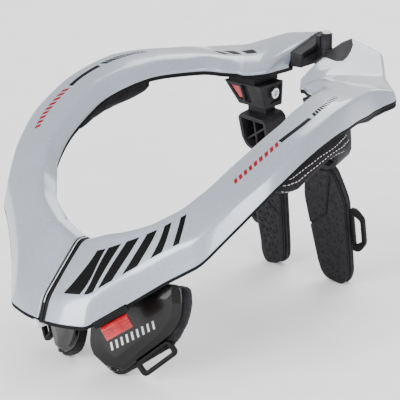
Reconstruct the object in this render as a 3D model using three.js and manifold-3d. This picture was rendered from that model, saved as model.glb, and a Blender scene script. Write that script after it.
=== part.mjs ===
import * as THREE from 'three';
import { mergeVertices } from 'three/addons/utils/BufferGeometryUtils.js';
import Module from 'manifold-3d';

const wasm = await Module();
wasm.setup();

// Sizes in millimetres. X points to the wearer's left, the front is -Y, Z is up.
const HALF_WIDTH = 110;
const LENGTH = 305;
const HEIGHT = 175;
const BAND = 40;
const GAP = 0.3;
const SHELL_WALL = 2.4;
const TRAY_CLEAR = 0.9;
const TRAY_WALL = 2.6;
const TRAY_LIP_IN = 2.4;
const TRAY_LIP_OUT = 2;
const CREASE = 2;
const CROWN = 0.7;
const SEAM_PLATE = 2.6;
const SEAM_CLEAR = 0.2;
const SEAM_BAND = 7.5;
const LATCH_PIN_RADIUS = 3.5;
const LATCH_PIN_X = 5;
const LATCH_PLACE = 3.3;
const LATCH_BAR = 25;
const LATCH_LEVER = 19;
const CHEST_ORIGIN = [31.4, 41.8, 2.1];
const CHEST_YAW = 20;
const CHEST_PITCH = 10;
const CHEST_PLATE = 4.5;
const CHEST_FOAM = 8;
const BRACKET_X = 19;
const BRACKET_Y = 242;
const BRACKET_DROP = 18;
const BRACKET_TALL = 17.7;
const LUG_RADIUS = 5.6;
const SCREW_RADIUS = 2.3;
const LEG_ORIGIN = [28.8, 271.5, -4.3];
const LEG_YAW = 8;
const LEG_PITCH = -11;
const HINGE_INSET = 12;
const HINGE_DEPTH = 11;
const HINGE_RADIUS = 4.2;
const HINGE_PIN = 1.6;
const SHOULDER_FROM = 10.3;
const SHOULDER_TO = 14.2;
const PAD_CLEAR = 0.9;
const PAD_DROP_IN = 7.5;
const PAD_DROP_OUT = 17;
const PAD_WING = 5;

// One row for each section of the left half, from the front seam to the rear cut.
// The crest is the inner crease of the top face and the edge is the outer crease.
// Positions are shares of half width, length and height, the rest of the band width.
const SECTION_COLUMNS = [
  'crestX', 'crestY', 'crestZ', 'edgeX', 'edgeY', 'edgeZ',
  'bevelIn', 'bevelDrop', 'lip', 'wallOut', 'wallDrop', 'smooth', 'steps',
];
const SECTIONS = [
  [0.028, 0.121, 0.527, 0.028, 0.017, 0.352, 0.25, 0.03, 0.23, 0.13, 0.36, 1, 1],
  [0.126, 0.119, 0.554, 0.152, 0.022, 0.359, 0.25, 0.04, 0.23, 0.13, 0.38, 1, 1],
  [0.198, 0.122, 0.571, 0.283, 0.033, 0.370, 0.25, 0.05, 0.20, 0.12, 0.40, 0, 2],
  [0.266, 0.136, 0.582, 0.350, 0.059, 0.411, 0.25, 0.06, 0.19, 0.12, 0.45, 1, 2],
  [0.359, 0.152, 0.603, 0.467, 0.102, 0.474, 0.25, 0.09, 0.16, 0.11, 0.44, 1, 2],
  [0.447, 0.172, 0.627, 0.597, 0.140, 0.541, 0.26, 0.12, 0.14, 0.10, 0.42, 1, 2],
  [0.512, 0.194, 0.656, 0.692, 0.164, 0.583, 0.27, 0.16, 0.11, 0.09, 0.42, 1, 2],
  [0.573, 0.220, 0.688, 0.777, 0.187, 0.621, 0.26, 0.20, 0.09, 0.09, 0.40, 1, 2],
  [0.620, 0.247, 0.727, 0.841, 0.227, 0.690, 0.23, 0.24, 0.07, 0.09, 0.39, 1, 2],
  [0.655, 0.272, 0.760, 0.894, 0.267, 0.743, 0.21, 0.28, 0.06, 0.09, 0.33, 1, 2],
  [0.696, 0.336, 0.829, 0.951, 0.334, 0.816, 0.18, 0.27, 0.05, 0.09, 0.26, 1, 2],
  [0.717, 0.427, 0.897, 0.971, 0.417, 0.884, 0.17, 0.23, 0.05, 0.09, 0.26, 1, 2],
  [0.709, 0.481, 0.922, 0.964, 0.477, 0.922, 0.17, 0.21, 0.05, 0.09, 0.29, 1, 1],
  [0.674, 0.539, 0.941, 0.936, 0.551, 0.954, 0.17, 0.19, 0.05, 0.09, 0.35, 1, 1],
  [0.643, 0.588, 0.950, 0.906, 0.604, 0.963, 0.17, 0.18, 0.05, 0.10, 0.38, 1, 1],
  [0.597, 0.639, 0.955, 0.858, 0.661, 0.960, 0.17, 0.20, 0.05, 0.10, 0.38, 1, 2],
  [0.513, 0.712, 0.947, 0.805, 0.723, 0.949, 0.18, 0.19, 0.05, 0.10, 0.38, 1, 2],
  [0.434, 0.744, 0.945, 0.764, 0.785, 0.937, 0.25, 0.20, 0.05, 0.10, 0.34, 1, 3],
  [0.372, 0.772, 0.940, 0.795, 0.844, 0.910, 0.31, 0.19, 0.05, 0.05, 0.16, 0, 3],
  [0.316, 0.796, 0.930, 0.570, 0.916, 0.919, 0.35, 0.17, 0.05, 0.06, 0.20, 0, 3],
  [0.231, 0.821, 0.927, 0.382, 0.996, 0.968, 0.35, 0.16, 0.05, 0.07, 0.33, 0, 3],
  [0.150, 0.840, 0.938, 0.218, 0.999, 0.987, 0.28, 0.19, 0.05, 0.07, 0.38, 0, 7],
  [0.130, 0.885, 0.949, 0.130, 1.001, 0.999, 0.06, 0.25, 0.05, 0.07, 0.40, 0, 1],
];

const scaled = SECTIONS.map((row) => {
  const cell = Object.fromEntries(SECTION_COLUMNS.map((name, i) => [name, row[i]]));
  return {
    crest: new THREE.Vector3(cell.crestX * HALF_WIDTH, cell.crestY * LENGTH, cell.crestZ * HEIGHT),
    edge: new THREE.Vector3(cell.edgeX * HALF_WIDTH, cell.edgeY * LENGTH, cell.edgeZ * HEIGHT),
    form: [cell.bevelIn, cell.bevelDrop, cell.lip, cell.wallOut, cell.wallDrop].map((s) => s * BAND),
    smooth: cell.smooth === 1,
    steps: cell.steps,
  };
});

// Cubic blend between rows b and c, with a and d as the neighbours.
function blend(a, b, c, d, t) {
  const even = 2 * b + (c - a) * t;
  const square = (2 * a - 5 * b + 4 * c - d) * t * t;
  const cube = (3 * b - a - 3 * c + d) * t * t * t;
  return 0.5 * (even + square + cube);
}

// The band's section at a place between rows, such as 3.5.
function sectionAt(place) {
  const low = Math.min(Math.floor(place), scaled.length - 2);
  const t = place - low;
  const b = scaled[low];
  const c = scaled[low + 1];
  const a = b.smooth && low > 0 ? scaled[low - 1] : b;
  const d = c.smooth && low + 2 < scaled.length ? scaled[low + 2] : c;
  const curved = b.smooth || c.smooth;
  const mix = (p, q, r, s) => (curved ? blend(p, q, r, s, t) : q + (r - q) * t);
  const spot = (key) => new THREE.Vector3(
    mix(a[key].x, b[key].x, c[key].x, d[key].x),
    mix(a[key].y, b[key].y, c[key].y, d[key].y),
    mix(a[key].z, b[key].z, c[key].z, d[key].z),
  );
  const [bevelIn, bevelDrop, lip, wallOut, wallDrop] = b.form.map((v, i) => v + (c.form[i] - v) * t);
  const crest = spot('crest');
  const edge = spot('edge');
  const out = new THREE.Vector3(edge.x - crest.x, edge.y - crest.y, 0);
  const width = out.length();
  out.normalize();
  return { crest, out, width, rise: edge.z - crest.z, bevelIn, bevelDrop, lip, wallOut, wallDrop };
}

// A point of a section: u runs outward from the crest, v runs up from it.
function place3(section, u, v) {
  return section.crest.clone().addScaledVector(section.out, u).add(new THREE.Vector3(0, 0, v));
}

// Outer outline with sharp creases, from the inner lip over the top to the outer rim.
function sharpPath(s) {
  return [
    [-s.bevelIn, -s.bevelDrop - s.lip],
    [-s.bevelIn, -s.bevelDrop],
    [0, 0],
    [s.width, s.rise],
    [s.width + s.wallOut, s.rise - s.wallDrop],
  ];
}

// The same outline with its two creases softened and a slight crown on the top face.
function softPath(s) {
  const [low, hem, crest, edge, rim] = sharpPath(s);
  const toward = (from, to, reach) => {
    const length = Math.hypot(to[0] - from[0], to[1] - from[1]);
    const share = Math.min(reach / length, 0.45);
    return [from[0] + (to[0] - from[0]) * share, from[1] + (to[1] - from[1]) * share];
  };
  const crown = (share) => [s.width * share, s.rise * share + CROWN];
  return [
    low,
    hem,
    toward(crest, hem, CREASE),
    toward(crest, edge, CREASE),
    crown(0.33),
    crown(0.67),
    toward(edge, crest, CREASE),
    toward(edge, rim, CREASE),
    rim,
  ];
}

// The path moved inward by a distance, with mitred corners and its last point kept level.
function insetPath(path, distance) {
  const normals = path.slice(1).map((p, i) => {
    const dx = p[0] - path[i][0];
    const dy = p[1] - path[i][1];
    const length = Math.hypot(dx, dy);
    return [dy / length, -dx / length];
  });
  const moved = path.map((p, i) => {
    const n1 = normals[Math.max(i - 1, 0)];
    const n2 = normals[Math.min(i, normals.length - 1)];
    const scale = distance / (1 + n1[0] * n2[0] + n1[1] * n2[1]);
    return [p[0] + (n1[0] + n2[0]) * scale, p[1] + (n1[1] + n2[1]) * scale];
  });
  const end = moved[moved.length - 1];
  const before = moved[moved.length - 2];
  const level = path[path.length - 1][1];
  const share = (level - before[1]) / (end[1] - before[1]);
  moved[moved.length - 1] = [before[0] + (end[0] - before[0]) * share, level];
  return moved;
}

const stations = [];
for (let row = 0; row < scaled.length - 1; row += 1) {
  const { steps } = scaled[row];
  for (let step = 0; step < steps; step += 1) {
    stations.push(row + step / steps);
  }
}
stations.push(scaled.length - 1);

function signedVolume(positions, index) {
  const a = new THREE.Vector3();
  const b = new THREE.Vector3();
  const c = new THREE.Vector3();
  let total = 0;
  for (let i = 0; i < index.length; i += 3) {
    a.fromArray(positions, index[i] * 3);
    b.fromArray(positions, index[i + 1] * 3);
    c.fromArray(positions, index[i + 2] * 3);
    total += a.dot(b.cross(c)) / 6;
  }
  return total;
}

function meshFrom(positions, index) {
  const turned = [];
  for (let i = 0; i < index.length; i += 3) {
    turned.push(index[i], index[i + 2], index[i + 1]);
  }
  const geometry = new THREE.BufferGeometry();
  geometry.setAttribute('position', new THREE.Float32BufferAttribute(positions, 3));
  geometry.setIndex(signedVolume(positions, index) < 0 ? turned : index);
  return geometry;
}

// A solid through rings of points. Each ring is { points, flat } with flat for its cap.
function loft(rings) {
  const count = rings[0].points.length;
  const positions = rings.flatMap((ring) => ring.points.flatMap((p) => [p.x, p.y, p.z]));
  const index = [];
  for (let i = 0; i + 1 < rings.length; i += 1) {
    for (let j = 0; j < count; j += 1) {
      const k = (j + 1) % count;
      const a = i * count + j;
      const b = i * count + k;
      index.push(a, b, b + count, a, b + count, a + count);
    }
  }
  const last = (rings.length - 1) * count;
  const contour = (ring) => ring.flat.map((p) => new THREE.Vector2(p[0], p[1]));
  const area = (flat) => THREE.ShapeUtils.area(flat);
  const first = contour(rings[0]);
  const final = contour(rings[rings.length - 1]);
  for (const [a, b, c] of THREE.ShapeUtils.triangulateShape(first, [])) {
    index.push(...(area([first[a], first[b], first[c]]) * area(first) > 0 ? [a, c, b] : [a, b, c]));
  }
  for (const [a, b, c] of THREE.ShapeUtils.triangulateShape(final, [])) {
    const same = area([final[a], final[b], final[c]]) * area(final) > 0;
    index.push(...(same ? [last + a, last + b, last + c] : [last + a, last + c, last + b]));
  }
  return meshFrom(positions, index);
}

function bandLoft(outline, places) {
  return loft(places.map((spot) => {
    const section = sectionAt(spot);
    const flat = outline(section, spot);
    return { flat, points: flat.map(([u, v]) => place3(section, u, v)) };
  }));
}

function toSolid(geometry) {
  const bare = new THREE.BufferGeometry();
  bare.setAttribute('position', geometry.getAttribute('position').clone());
  if (geometry.index) {
    bare.setIndex(geometry.index.clone());
  }
  const joined = mergeVertices(bare, 1e-4);
  return new wasm.Manifold(new wasm.Mesh({
    numProp: 3,
    vertProperties: new Float32Array(joined.getAttribute('position').array),
    triVerts: new Uint32Array(joined.index.array),
  }));
}

function toGeometry(solid) {
  const mesh = solid.getMesh();
  return meshFrom(Array.from(mesh.vertProperties), Array.from(mesh.triVerts));
}

function cut(geometry, ...cutters) {
  return toGeometry(cutters.reduce((left, cutter) => left.subtract(toSolid(cutter)), toSolid(geometry)));
}

function join(geometry, ...others) {
  return toGeometry(others.reduce((left, other) => left.add(toSolid(other)), toSolid(geometry)));
}

function mirrored(geometry) {
  const positions = Array.from(geometry.getAttribute('position').array);
  for (let i = 0; i < positions.length; i += 3) {
    positions[i] = -positions[i];
  }
  const count = positions.length / 3;
  const index = geometry.index ? Array.from(geometry.index.array) : [...Array(count).keys()];
  return meshFrom(positions, index);
}

// A box given by its lowest and highest corner.
function block(low, high) {
  const size = low.map((v, i) => high[i] - v);
  const box = new THREE.BoxGeometry(...size);
  return box.translate(...low.map((v, i) => v + size[i] / 2));
}

function rod(radius, from, to, sides = 20) {
  const start = new THREE.Vector3(...from);
  const way = new THREE.Vector3(...to).sub(start);
  const bar = new THREE.CylinderGeometry(radius, radius, way.length(), sides);
  bar.applyQuaternion(new THREE.Quaternion().setFromUnitVectors(
    new THREE.Vector3(0, 1, 0),
    way.clone().normalize(),
  ));
  return bar.translate(...start.addScaledVector(way, 0.5).toArray());
}

// Corners of an outline cut by short arcs.
function rounded(points, radius, steps = 3) {
  const result = [];
  points.forEach((p, i) => {
    const corner = new THREE.Vector2(...p);
    const before = new THREE.Vector2(...points[(i + points.length - 1) % points.length]).sub(corner);
    const after = new THREE.Vector2(...points[(i + 1) % points.length]).sub(corner);
    const reach = Math.min(radius, before.length() * 0.45, after.length() * 0.45);
    const from = corner.clone().add(before.setLength(reach));
    const to = corner.clone().add(after.setLength(reach));
    for (let k = 0; k <= steps; k += 1) {
      const t = k / steps;
      result.push([
        (1 - t) ** 2 * from.x + 2 * t * (1 - t) * corner.x + t ** 2 * to.x,
        (1 - t) ** 2 * from.y + 2 * t * (1 - t) * corner.y + t ** 2 * to.y,
      ]);
    }
  });
  return result;
}

// An upright frame turned about Z by yaw and leaned by pitch, in degrees.
function leaning(origin, yawDeg, pitchDeg) {
  const yaw = THREE.MathUtils.degToRad(yawDeg);
  const pitch = THREE.MathUtils.degToRad(pitchDeg);
  const across = new THREE.Vector3(Math.cos(yaw), Math.sin(yaw), 0);
  const face = new THREE.Vector3(
    Math.sin(yaw) * Math.cos(pitch),
    -Math.cos(yaw) * Math.cos(pitch),
    Math.sin(pitch),
  );
  const up = face.clone().cross(across);
  return new THREE.Matrix4().makeBasis(across, up, face).setPosition(...origin);
}

// A flat piece with its outline in the frame, between two depths along the frame's face.
function slab(frame, outline, back, front, { holes = [], bevel = 0 } = {}) {
  const turned = (points) => {
    const path = points.map((p) => new THREE.Vector2(...p));
    return THREE.ShapeUtils.isClockWise(path) ? path.reverse() : path;
  };
  const shape = new THREE.Shape(turned(outline));
  shape.holes = holes.map((hole) => new THREE.Path(turned(hole).reverse()));
  const geometry = new THREE.ExtrudeGeometry(shape, {
    depth: front - back - 2 * bevel,
    bevelEnabled: bevel > 0,
    bevelThickness: bevel,
    bevelSize: bevel,
    bevelOffset: -bevel,
    bevelSegments: 1,
    curveSegments: 1,
  });
  geometry.translate(0, 0, back + bevel);
  return geometry.applyMatrix4(frame);
}

// An upright prism over a plan outline, its top given by a height for each point.
function slopedPrism(plan, bottom, topOf) {
  const rings = [
    { flat: plan, points: plan.map(([x, y]) => new THREE.Vector3(x, y, bottom)) },
    { flat: plan, points: plan.map(([x, y]) => new THREE.Vector3(x, y, topOf(x, y))) },
  ];
  return loft(rings);
}

// Top shells and trays of the ring.
function shellOutline(s) {
  const inner = insetPath(sharpPath(s), SHELL_WALL);
  return [...softPath(s), ...inner.reverse()];
}

function trayOuter(s) {
  return insetPath(sharpPath(s), SHELL_WALL + TRAY_CLEAR);
}

function trayOutline(s) {
  const [low, hem, crest, edge, rim] = trayOuter(s);
  const deep = insetPath(sharpPath(s), SHELL_WALL + TRAY_CLEAR + TRAY_WALL);
  const lipLow = -s.bevelDrop - s.lip - GAP;
  const rimLow = s.rise - s.wallDrop - GAP;
  const rimU = s.width + s.wallOut;
  return [
    [-s.bevelIn, lipLow - TRAY_LIP_IN],
    [-s.bevelIn, lipLow],
    [low[0], lipLow],
    hem,
    crest,
    edge,
    [rim[0], rimLow],
    [rimU, rimLow],
    [rimU, rimLow - TRAY_LIP_OUT],
    [deep[4][0], rimLow - TRAY_LIP_OUT],
    deep[3],
    deep[2],
    [deep[0][0], lipLow - TRAY_LIP_IN],
  ];
}

// Everything above the tray, to trim what hangs from it.
function aboveTray(s) {
  const [low, hem, crest, edge, rim] = trayOuter(s);
  const lipLow = -s.bevelDrop - s.lip - GAP;
  const rimLow = s.rise - s.wallDrop - GAP;
  return [
    [-s.bevelIn - 30, lipLow],
    [low[0], lipLow],
    hem,
    crest,
    edge,
    [rim[0], rimLow],
    [rim[0] + 40, rimLow],
    [rim[0] + 40, 60],
    [-s.bevelIn - 30, 60],
  ];
}

const shellHalf = bandLoft(shellOutline, stations);
const trayHalf = bandLoft(trayOutline, stations);
const trimTop = bandLoft(aboveTray, stations);

// Black plates that close the two halves at the front seam.
function seamOutline(s) {
  const outer = insetPath(sharpPath(s), GAP);
  const inner = insetPath(sharpPath(s), SEAM_BAND);
  const lipLow = -s.bevelDrop - s.lip - GAP - TRAY_LIP_IN;
  const rimLow = s.rise - s.wallDrop - GAP - TRAY_LIP_OUT;
  return [
    [outer[0][0], lipLow],
    outer[1],
    outer[2],
    outer[3],
    [outer[4][0], rimLow],
    [inner[4][0], rimLow],
    inner[3],
    inner[2],
    [inner[0][0], lipLow],
  ];
}

const seamSection = sectionAt(0);
const seamFlat = seamOutline(seamSection);
const seamPlate = loft([SEAM_CLEAR, SEAM_CLEAR + SEAM_PLATE].map((x) => ({
  flat: seamFlat,
  points: seamFlat.map(([u, v]) => place3(seamSection, u, v).setX(x)),
})));

const seamLow = place3(
  seamSection,
  seamSection.width + seamSection.wallOut,
  seamSection.rise - seamSection.wallDrop,
);
const pinZ = seamLow.z - LATCH_PIN_RADIUS - 2 * GAP;
const latchPin = rod(
  LATCH_PIN_RADIUS,
  [-LATCH_PIN_X, seamLow.y - 1.2, pinZ],
  [-LATCH_PIN_X, seamLow.y + 10, pinZ],
);
const latchPinRoom = rod(
  LATCH_PIN_RADIUS + GAP,
  [-LATCH_PIN_X, seamLow.y - 4, pinZ],
  [-LATCH_PIN_X, seamLow.y + 10 + GAP, pinZ],
);

// Latch bar in the front rim of the left half, with its lever below.
const rimAt = (spot) => {
  const s = sectionAt(spot);
  return place3(s, s.width + s.wallOut, s.rise - s.wallDrop);
};
const latchAlong = rimAt(LATCH_PLACE + 0.4).sub(rimAt(LATCH_PLACE - 0.4)).normalize();
const latchFace = latchAlong.clone().cross(new THREE.Vector3(0, 0, 1)).normalize();
const latchUp = latchFace.clone().cross(latchAlong);
const latchFrame = new THREE.Matrix4()
  .makeBasis(latchAlong, latchUp, latchFace)
  .setPosition(rimAt(LATCH_PLACE));
const leverFrame = new THREE.Matrix4()
  .makeBasis(latchFace, latchUp, latchAlong.clone().negate())
  .setPosition(rimAt(LATCH_PLACE));
const rectangle = (a, b, c, d) => [[a, b], [c, b], [c, d], [a, d]];
const barHalf = LATCH_BAR / 2;
const latchBar = slab(latchFrame, rectangle(-barHalf, -4.2, barHalf, 0.6), -6, 1.2, { bevel: 0.6 });
const latchRoom = slab(
  latchFrame,
  rectangle(-barHalf - GAP, -9, barHalf + GAP, 0.6 + GAP),
  -6 - GAP,
  6,
);
const leverProfile = [
  [-2.4, -5.3], [-0.9, -4.6], [0.7, -5.2], [2.5, -6.3], [1.9, -7.1], [3.5, -8.1], [2.9, -8.9],
  [4.5, -9.9], [3.9, -10.7], [5.4, -11.9], [4.8, -13.1], [2.4, -13.3], [-2.6, -7.7],
];
const lever = slab(leverFrame, leverProfile, -LATCH_LEVER / 2, LATCH_LEVER / 2);

// Chest rests.
const chestFrame = leaning(CHEST_ORIGIN, CHEST_YAW, CHEST_PITCH);
const plateOutline = rounded([
  [-17, 66], [-24, 42], [-24.5, 19], [-20.5, 10.5], [-13, 5], [-6, 2], [0, 3.6],
  [28.8, 29.2], [37, 42], [38, 54], [36.5, 66],
], 5, 1);
const foamOutline = rounded([
  [-18, 64], [-20.5, 40], [-21.2, 18], [-19, 8.5], [-11, 2], [-6, -0.4], [0, 0.8],
  [33, 25], [40, 40], [42, 51], [40.5, 64],
], 5, 1);
const chestPlate = slab(chestFrame, plateOutline, -CHEST_PLATE, 0, { bevel: 1.4 });
const chestPad = slab(
  chestFrame,
  foamOutline,
  -CHEST_PLATE - GAP - CHEST_FOAM,
  -CHEST_PLATE - GAP,
  { bevel: 1.5 },
);
const loopEdge = (s, n) => [s * 0.748 + n * 0.664, 3.6 + s * 0.664 - n * 0.748];
const loopRing = (s0, n0, s1, n1) => [
  loopEdge(s0, n0), loopEdge(s0, n1), loopEdge(s1, n1), loopEdge(s1, n0),
];
const chestLoop = slab(
  chestFrame,
  rounded(loopRing(10, 0.4, 40, 11.8), 4, 2),
  -CHEST_PLATE,
  -0.6,
  { holes: [loopRing(13.2, 2.4, 36.8, 8.6)] },
);

// Arms that carry the chest plates, part of the trays.
const armShoulder = slab(chestFrame, rectangle(-4, 66 + GAP, 16, 80), -7, 0);
const armStart = new THREE.Vector3(6, 74, -3.5).applyMatrix4(chestFrame);
const armEnd = place3(sectionAt(4), 8, -8);
function bar(from, to, width, thickness) {
  const way = to.clone().sub(from);
  const along = way.clone().normalize();
  const side = along.clone().cross(new THREE.Vector3(0, 0, 1)).normalize();
  const frame = new THREE.Matrix4().makeBasis(side, along, side.clone().cross(along)).setPosition(from);
  const outline = rectangle(-width / 2, -2, width / 2, way.length() + 8);
  return slab(frame, outline, -thickness / 2, thickness / 2);
}
const chestArm = cut(join(armShoulder, bar(armStart, armEnd, 17, 7)), trimTop);

// Rear struts. The bracket is fixed to the tray and the rest turns about the screw.
const bracketTop = scaled[20].crest.z - BRACKET_DROP;
const bracketLow = bracketTop - BRACKET_TALL;
const bossBlock = block(
  [BRACKET_X + 5, BRACKET_Y, bracketTop + GAP],
  [BRACKET_X + 29, BRACKET_Y + 26, bracketTop + 40],
);
const bracketBoss = cut(bossBlock, trimTop);
const upright = (plan, z) => ({ flat: plan, points: plan.map(([x, y]) => new THREE.Vector3(x, y, z)) });
const bracketBody = loft([
  upright(rectangle(BRACKET_X, BRACKET_Y + 7, BRACKET_X + 25, BRACKET_Y + 25), bracketLow),
  upright(rectangle(BRACKET_X, BRACKET_Y, BRACKET_X + 33, BRACKET_Y + 26), bracketTop),
]);
const pivotY = BRACKET_Y + 16.5;
const pivotZ = bracketTop - 2 - LUG_RADIUS;
const lugLow = BRACKET_X + 4.4 + GAP;
const lugHigh = BRACKET_X + 21.6 - GAP;
const lugRoom = block(
  [lugLow - GAP, pivotY - LUG_RADIUS - 2 * GAP, bracketLow - 1],
  [lugHigh + GAP, BRACKET_Y + 30, pivotZ + LUG_RADIUS + GAP],
);
const bracketFrame = leaning([BRACKET_X, BRACKET_Y, bracketTop], 0, -21.6);
const windowOutline = (m) => [
  [20 + m, -3.4 - m], [29.4 - m, -3.4 - m], [24.4 - m, -15 + m], [20 + m, -15 + m],
];
const windowRoom = slab(bracketFrame, windowOutline(0), -5, 2);
const slotRoom = slab(bracketFrame, rectangle(12.5, -16.5, 18.3, -1.6), -3, 2);
const wedge = slab(bracketFrame, windowOutline(GAP), -5 + GAP, -0.9, { bevel: 0.5 });
const sideFrame = new THREE.Matrix4().makeBasis(
  new THREE.Vector3(0, 1, 0),
  new THREE.Vector3(0, 0, 1),
  new THREE.Vector3(1, 0, 0),
);
const recess = BRACKET_X + 1.2;
const sideRoom = slab(sideFrame, [
  [pivotY - 10, pivotZ + 5.6],
  [pivotY - 4.5, pivotZ - 7.5],
  [pivotY + 7, pivotZ - 6],
  [pivotY + 7, pivotZ + 5.6],
], BRACKET_X - 1, recess);
const screwRod = (radius, low, high, sides) => (
  rod(radius, [low, pivotY, pivotZ], [high, pivotY, pivotZ], sides)
);
const bore = screwRod(SCREW_RADIUS + GAP, BRACKET_X - 3, BRACKET_X + 24 + GAP, 14);
const bracket = cut(bracketBody, lugRoom, windowRoom, slotRoom, sideRoom, bore);
const screw = cut(
  join(
    screwRod(4, recess - 2.3, recess - GAP, 18),
    screwRod(SCREW_RADIUS, recess - 1.2, BRACKET_X + 24, 14),
  ),
  screwRod(2, recess - 3, recess - 1.2, 6),
);

const legFrame = leaning(LEG_ORIGIN, LEG_YAW, LEG_PITCH);
const legOutline = rounded([
  [-20, 74], [-17, 48], [-13.5, 20], [-11.5, 11], [-7, 5.5], [5, 2.6], [9.5, 4.5],
  [12.5, 12], [13.5, 45], [14, 72], [9, 88], [5, 98], [-14, 98], [-19, 86],
], 4, 1);
const padOutline = rounded([
  [-19, 73], [-16, 48], [-12.5, 20.5], [-10.5, 12], [-6.5, 6.8], [5, 4], [8.5, 5.6],
  [11, 12.5], [12, 45], [12.4, 71.5], [7.5, 87], [3.5, 96], [-13, 96], [-17.8, 85],
], 3, 1);
const legPlate = slab(legFrame, legOutline, -9.5, -5, { bevel: 1 });
const legPad = cut(
  slab(legFrame, padOutline, -5 + GAP, 0, { bevel: 0.9 }),
  slab(legFrame, [[2.2, 99], [2.2, 88], [-2.8, 61], [-1, 60.6], [3.8, 88], [3.8, 99]], -1.8, 1),
  slab(legFrame, [[-2.6, 62], [-22, 46], [-22, 44], [-1.2, 61]], -1.8, 1),
);
const legLoop = slab(
  legFrame,
  rounded([[14.5, 31], [14.5, 66], [19, 66], [25.4, 59], [25.4, 38], [20, 31]], 2.5, 1),
  -9,
  -5,
  { holes: [[[16.6, 36], [16.6, 61.5], [22.4, 57], [22.4, 40]]] },
);
const headOutline = rounded([
  [-15, 98 + GAP], [5.5, 98 + GAP], [12, 104], [13, 118], [13, 126], [-16, 126], [-16.5, 112],
], 3, 1);
const headPocket = [[-12.4, 101.5], [4.6, 101.5], [9.4, 106], [10.4, 122.8], [-13.3, 122.8], [-13.7, 112]];
const ribs = join(
  slab(legFrame, rectangle(-2.2, 95, -0.6, 130), -17, -1),
  slab(legFrame, [[-20, 124.4], [-20, 122.6], [16, 99.6], [16, 101.4]], -17, -1),
);
const neckFoot = new THREE.Vector3(0, 116, -10).applyMatrix4(legFrame);
const neckRings = [
  upright(rectangle(lugLow, neckFoot.y - 4, lugHigh, neckFoot.y + 7), neckFoot.z),
  upright(rectangle(lugLow, pivotY - 4.5, lugHigh, pivotY + 5.5), pivotZ),
];
const head = cut(
  join(
    cut(
      slab(legFrame, headOutline, -19, 0.8),
      cut(slab(legFrame, headPocket, -15, 2), ribs),
    ),
    cut(loft(neckRings), slab(legFrame, rectangle(-30, 60, 30, 124), -40, 20)),
    screwRod(LUG_RADIUS, lugLow, lugHigh, 20),
  ),
  bore,
);

// Rear hinge.
const cutLow = sectionAt(scaled.length - 1).crest;
const cutHigh = scaled[scaled.length - 1].edge;
const topSlope = (cutHigh.z - cutLow.z) / (cutHigh.y - cutLow.y);
const topLine = (y) => cutLow.z + (y - cutLow.y) * topSlope;
const hingeY = cutHigh.y - HINGE_INSET;
const hingeMid = cutLow.z;
const barrelHigh = cutHigh.z + 2;
const hingeLow = cutLow.z - HINGE_DEPTH;
const capPlan = [
  [5.5, cutLow.y + 1.5], [cutLow.x - GAP, cutLow.y + GAP],
  [cutLow.x - GAP, cutHigh.y - 0.8], [5.5, cutHigh.y - 2.2],
];
const capRight = cut(
  join(
    slopedPrism(capPlan, hingeLow, (x, y) => topLine(y) - 0.6 - (cutLow.x - x) * 0.12),
    block([3.4, hingeY - 3.5, hingeMid + GAP], [7, hingeY + 3.5, barrelHigh - 2]),
    rod(HINGE_RADIUS, [0, hingeY, hingeMid + GAP], [0, hingeY, barrelHigh]),
  ),
  rod(HINGE_PIN + GAP, [0, hingeY, hingeLow - 5], [0, hingeY, barrelHigh + 5]),
  slab(sideFrame, [
    [cutLow.y + 4, hingeLow + 6], [cutLow.y + 21, hingeLow + 8],
    [cutLow.y + 21, hingeLow + 12.4], [cutLow.y + 4, hingeLow + 10.4],
  ], 4, 8.5),
);
const neckPlan = [
  [5.5, cutHigh.y - 1.8], [14.3, cutHigh.y - 0.8], [20.5, cutHigh.y - 8], [26, cutHigh.y - 18],
  [28.9, cutHigh.y - 25.8], [30, cutHigh.y - 32], [26.5, cutLow.y + GAP], [9, cutLow.y + GAP],
  [5.5, cutLow.y + 3],
];
const neckRoom = slopedPrism([
  [0, cutHigh.y + 9], [14.8, cutHigh.y + 9], [14.8, cutHigh.y - 0.8], [21, cutHigh.y - 7.8],
  [26.5, cutHigh.y - 17.9], [29.4, cutHigh.y - 25.6], [30.5, cutHigh.y - 32], [26.8, cutLow.y - 0.1],
  [0, cutLow.y - 0.1],
], hingeLow - 20, () => HEIGHT + 20);
const dip = (x) => Math.max(0, 14.3 - x) * 0.5;
const capLeft = cut(
  join(
    slopedPrism(neckPlan, hingeLow, (x, y) => topLine(y) - 1 - dip(x)),
    block([3.4, hingeY - 3.5, hingeLow], [7, hingeY + 3.5, hingeMid]),
    rod(HINGE_RADIUS, [0, hingeY, hingeLow], [0, hingeY, hingeMid]),
  ),
  rod(HINGE_PIN + GAP, [0, hingeY, hingeLow - 5], [0, hingeY, barrelHigh + 5]),
);
const hingePin = join(
  rod(HINGE_PIN, [0, hingeY, hingeLow - 0.6], [0, hingeY, barrelHigh + 1], 16),
  rod(HINGE_PIN * 1.9, [0, hingeY, barrelHigh + GAP], [0, hingeY, barrelHigh + 1.8], 20),
);

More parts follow.
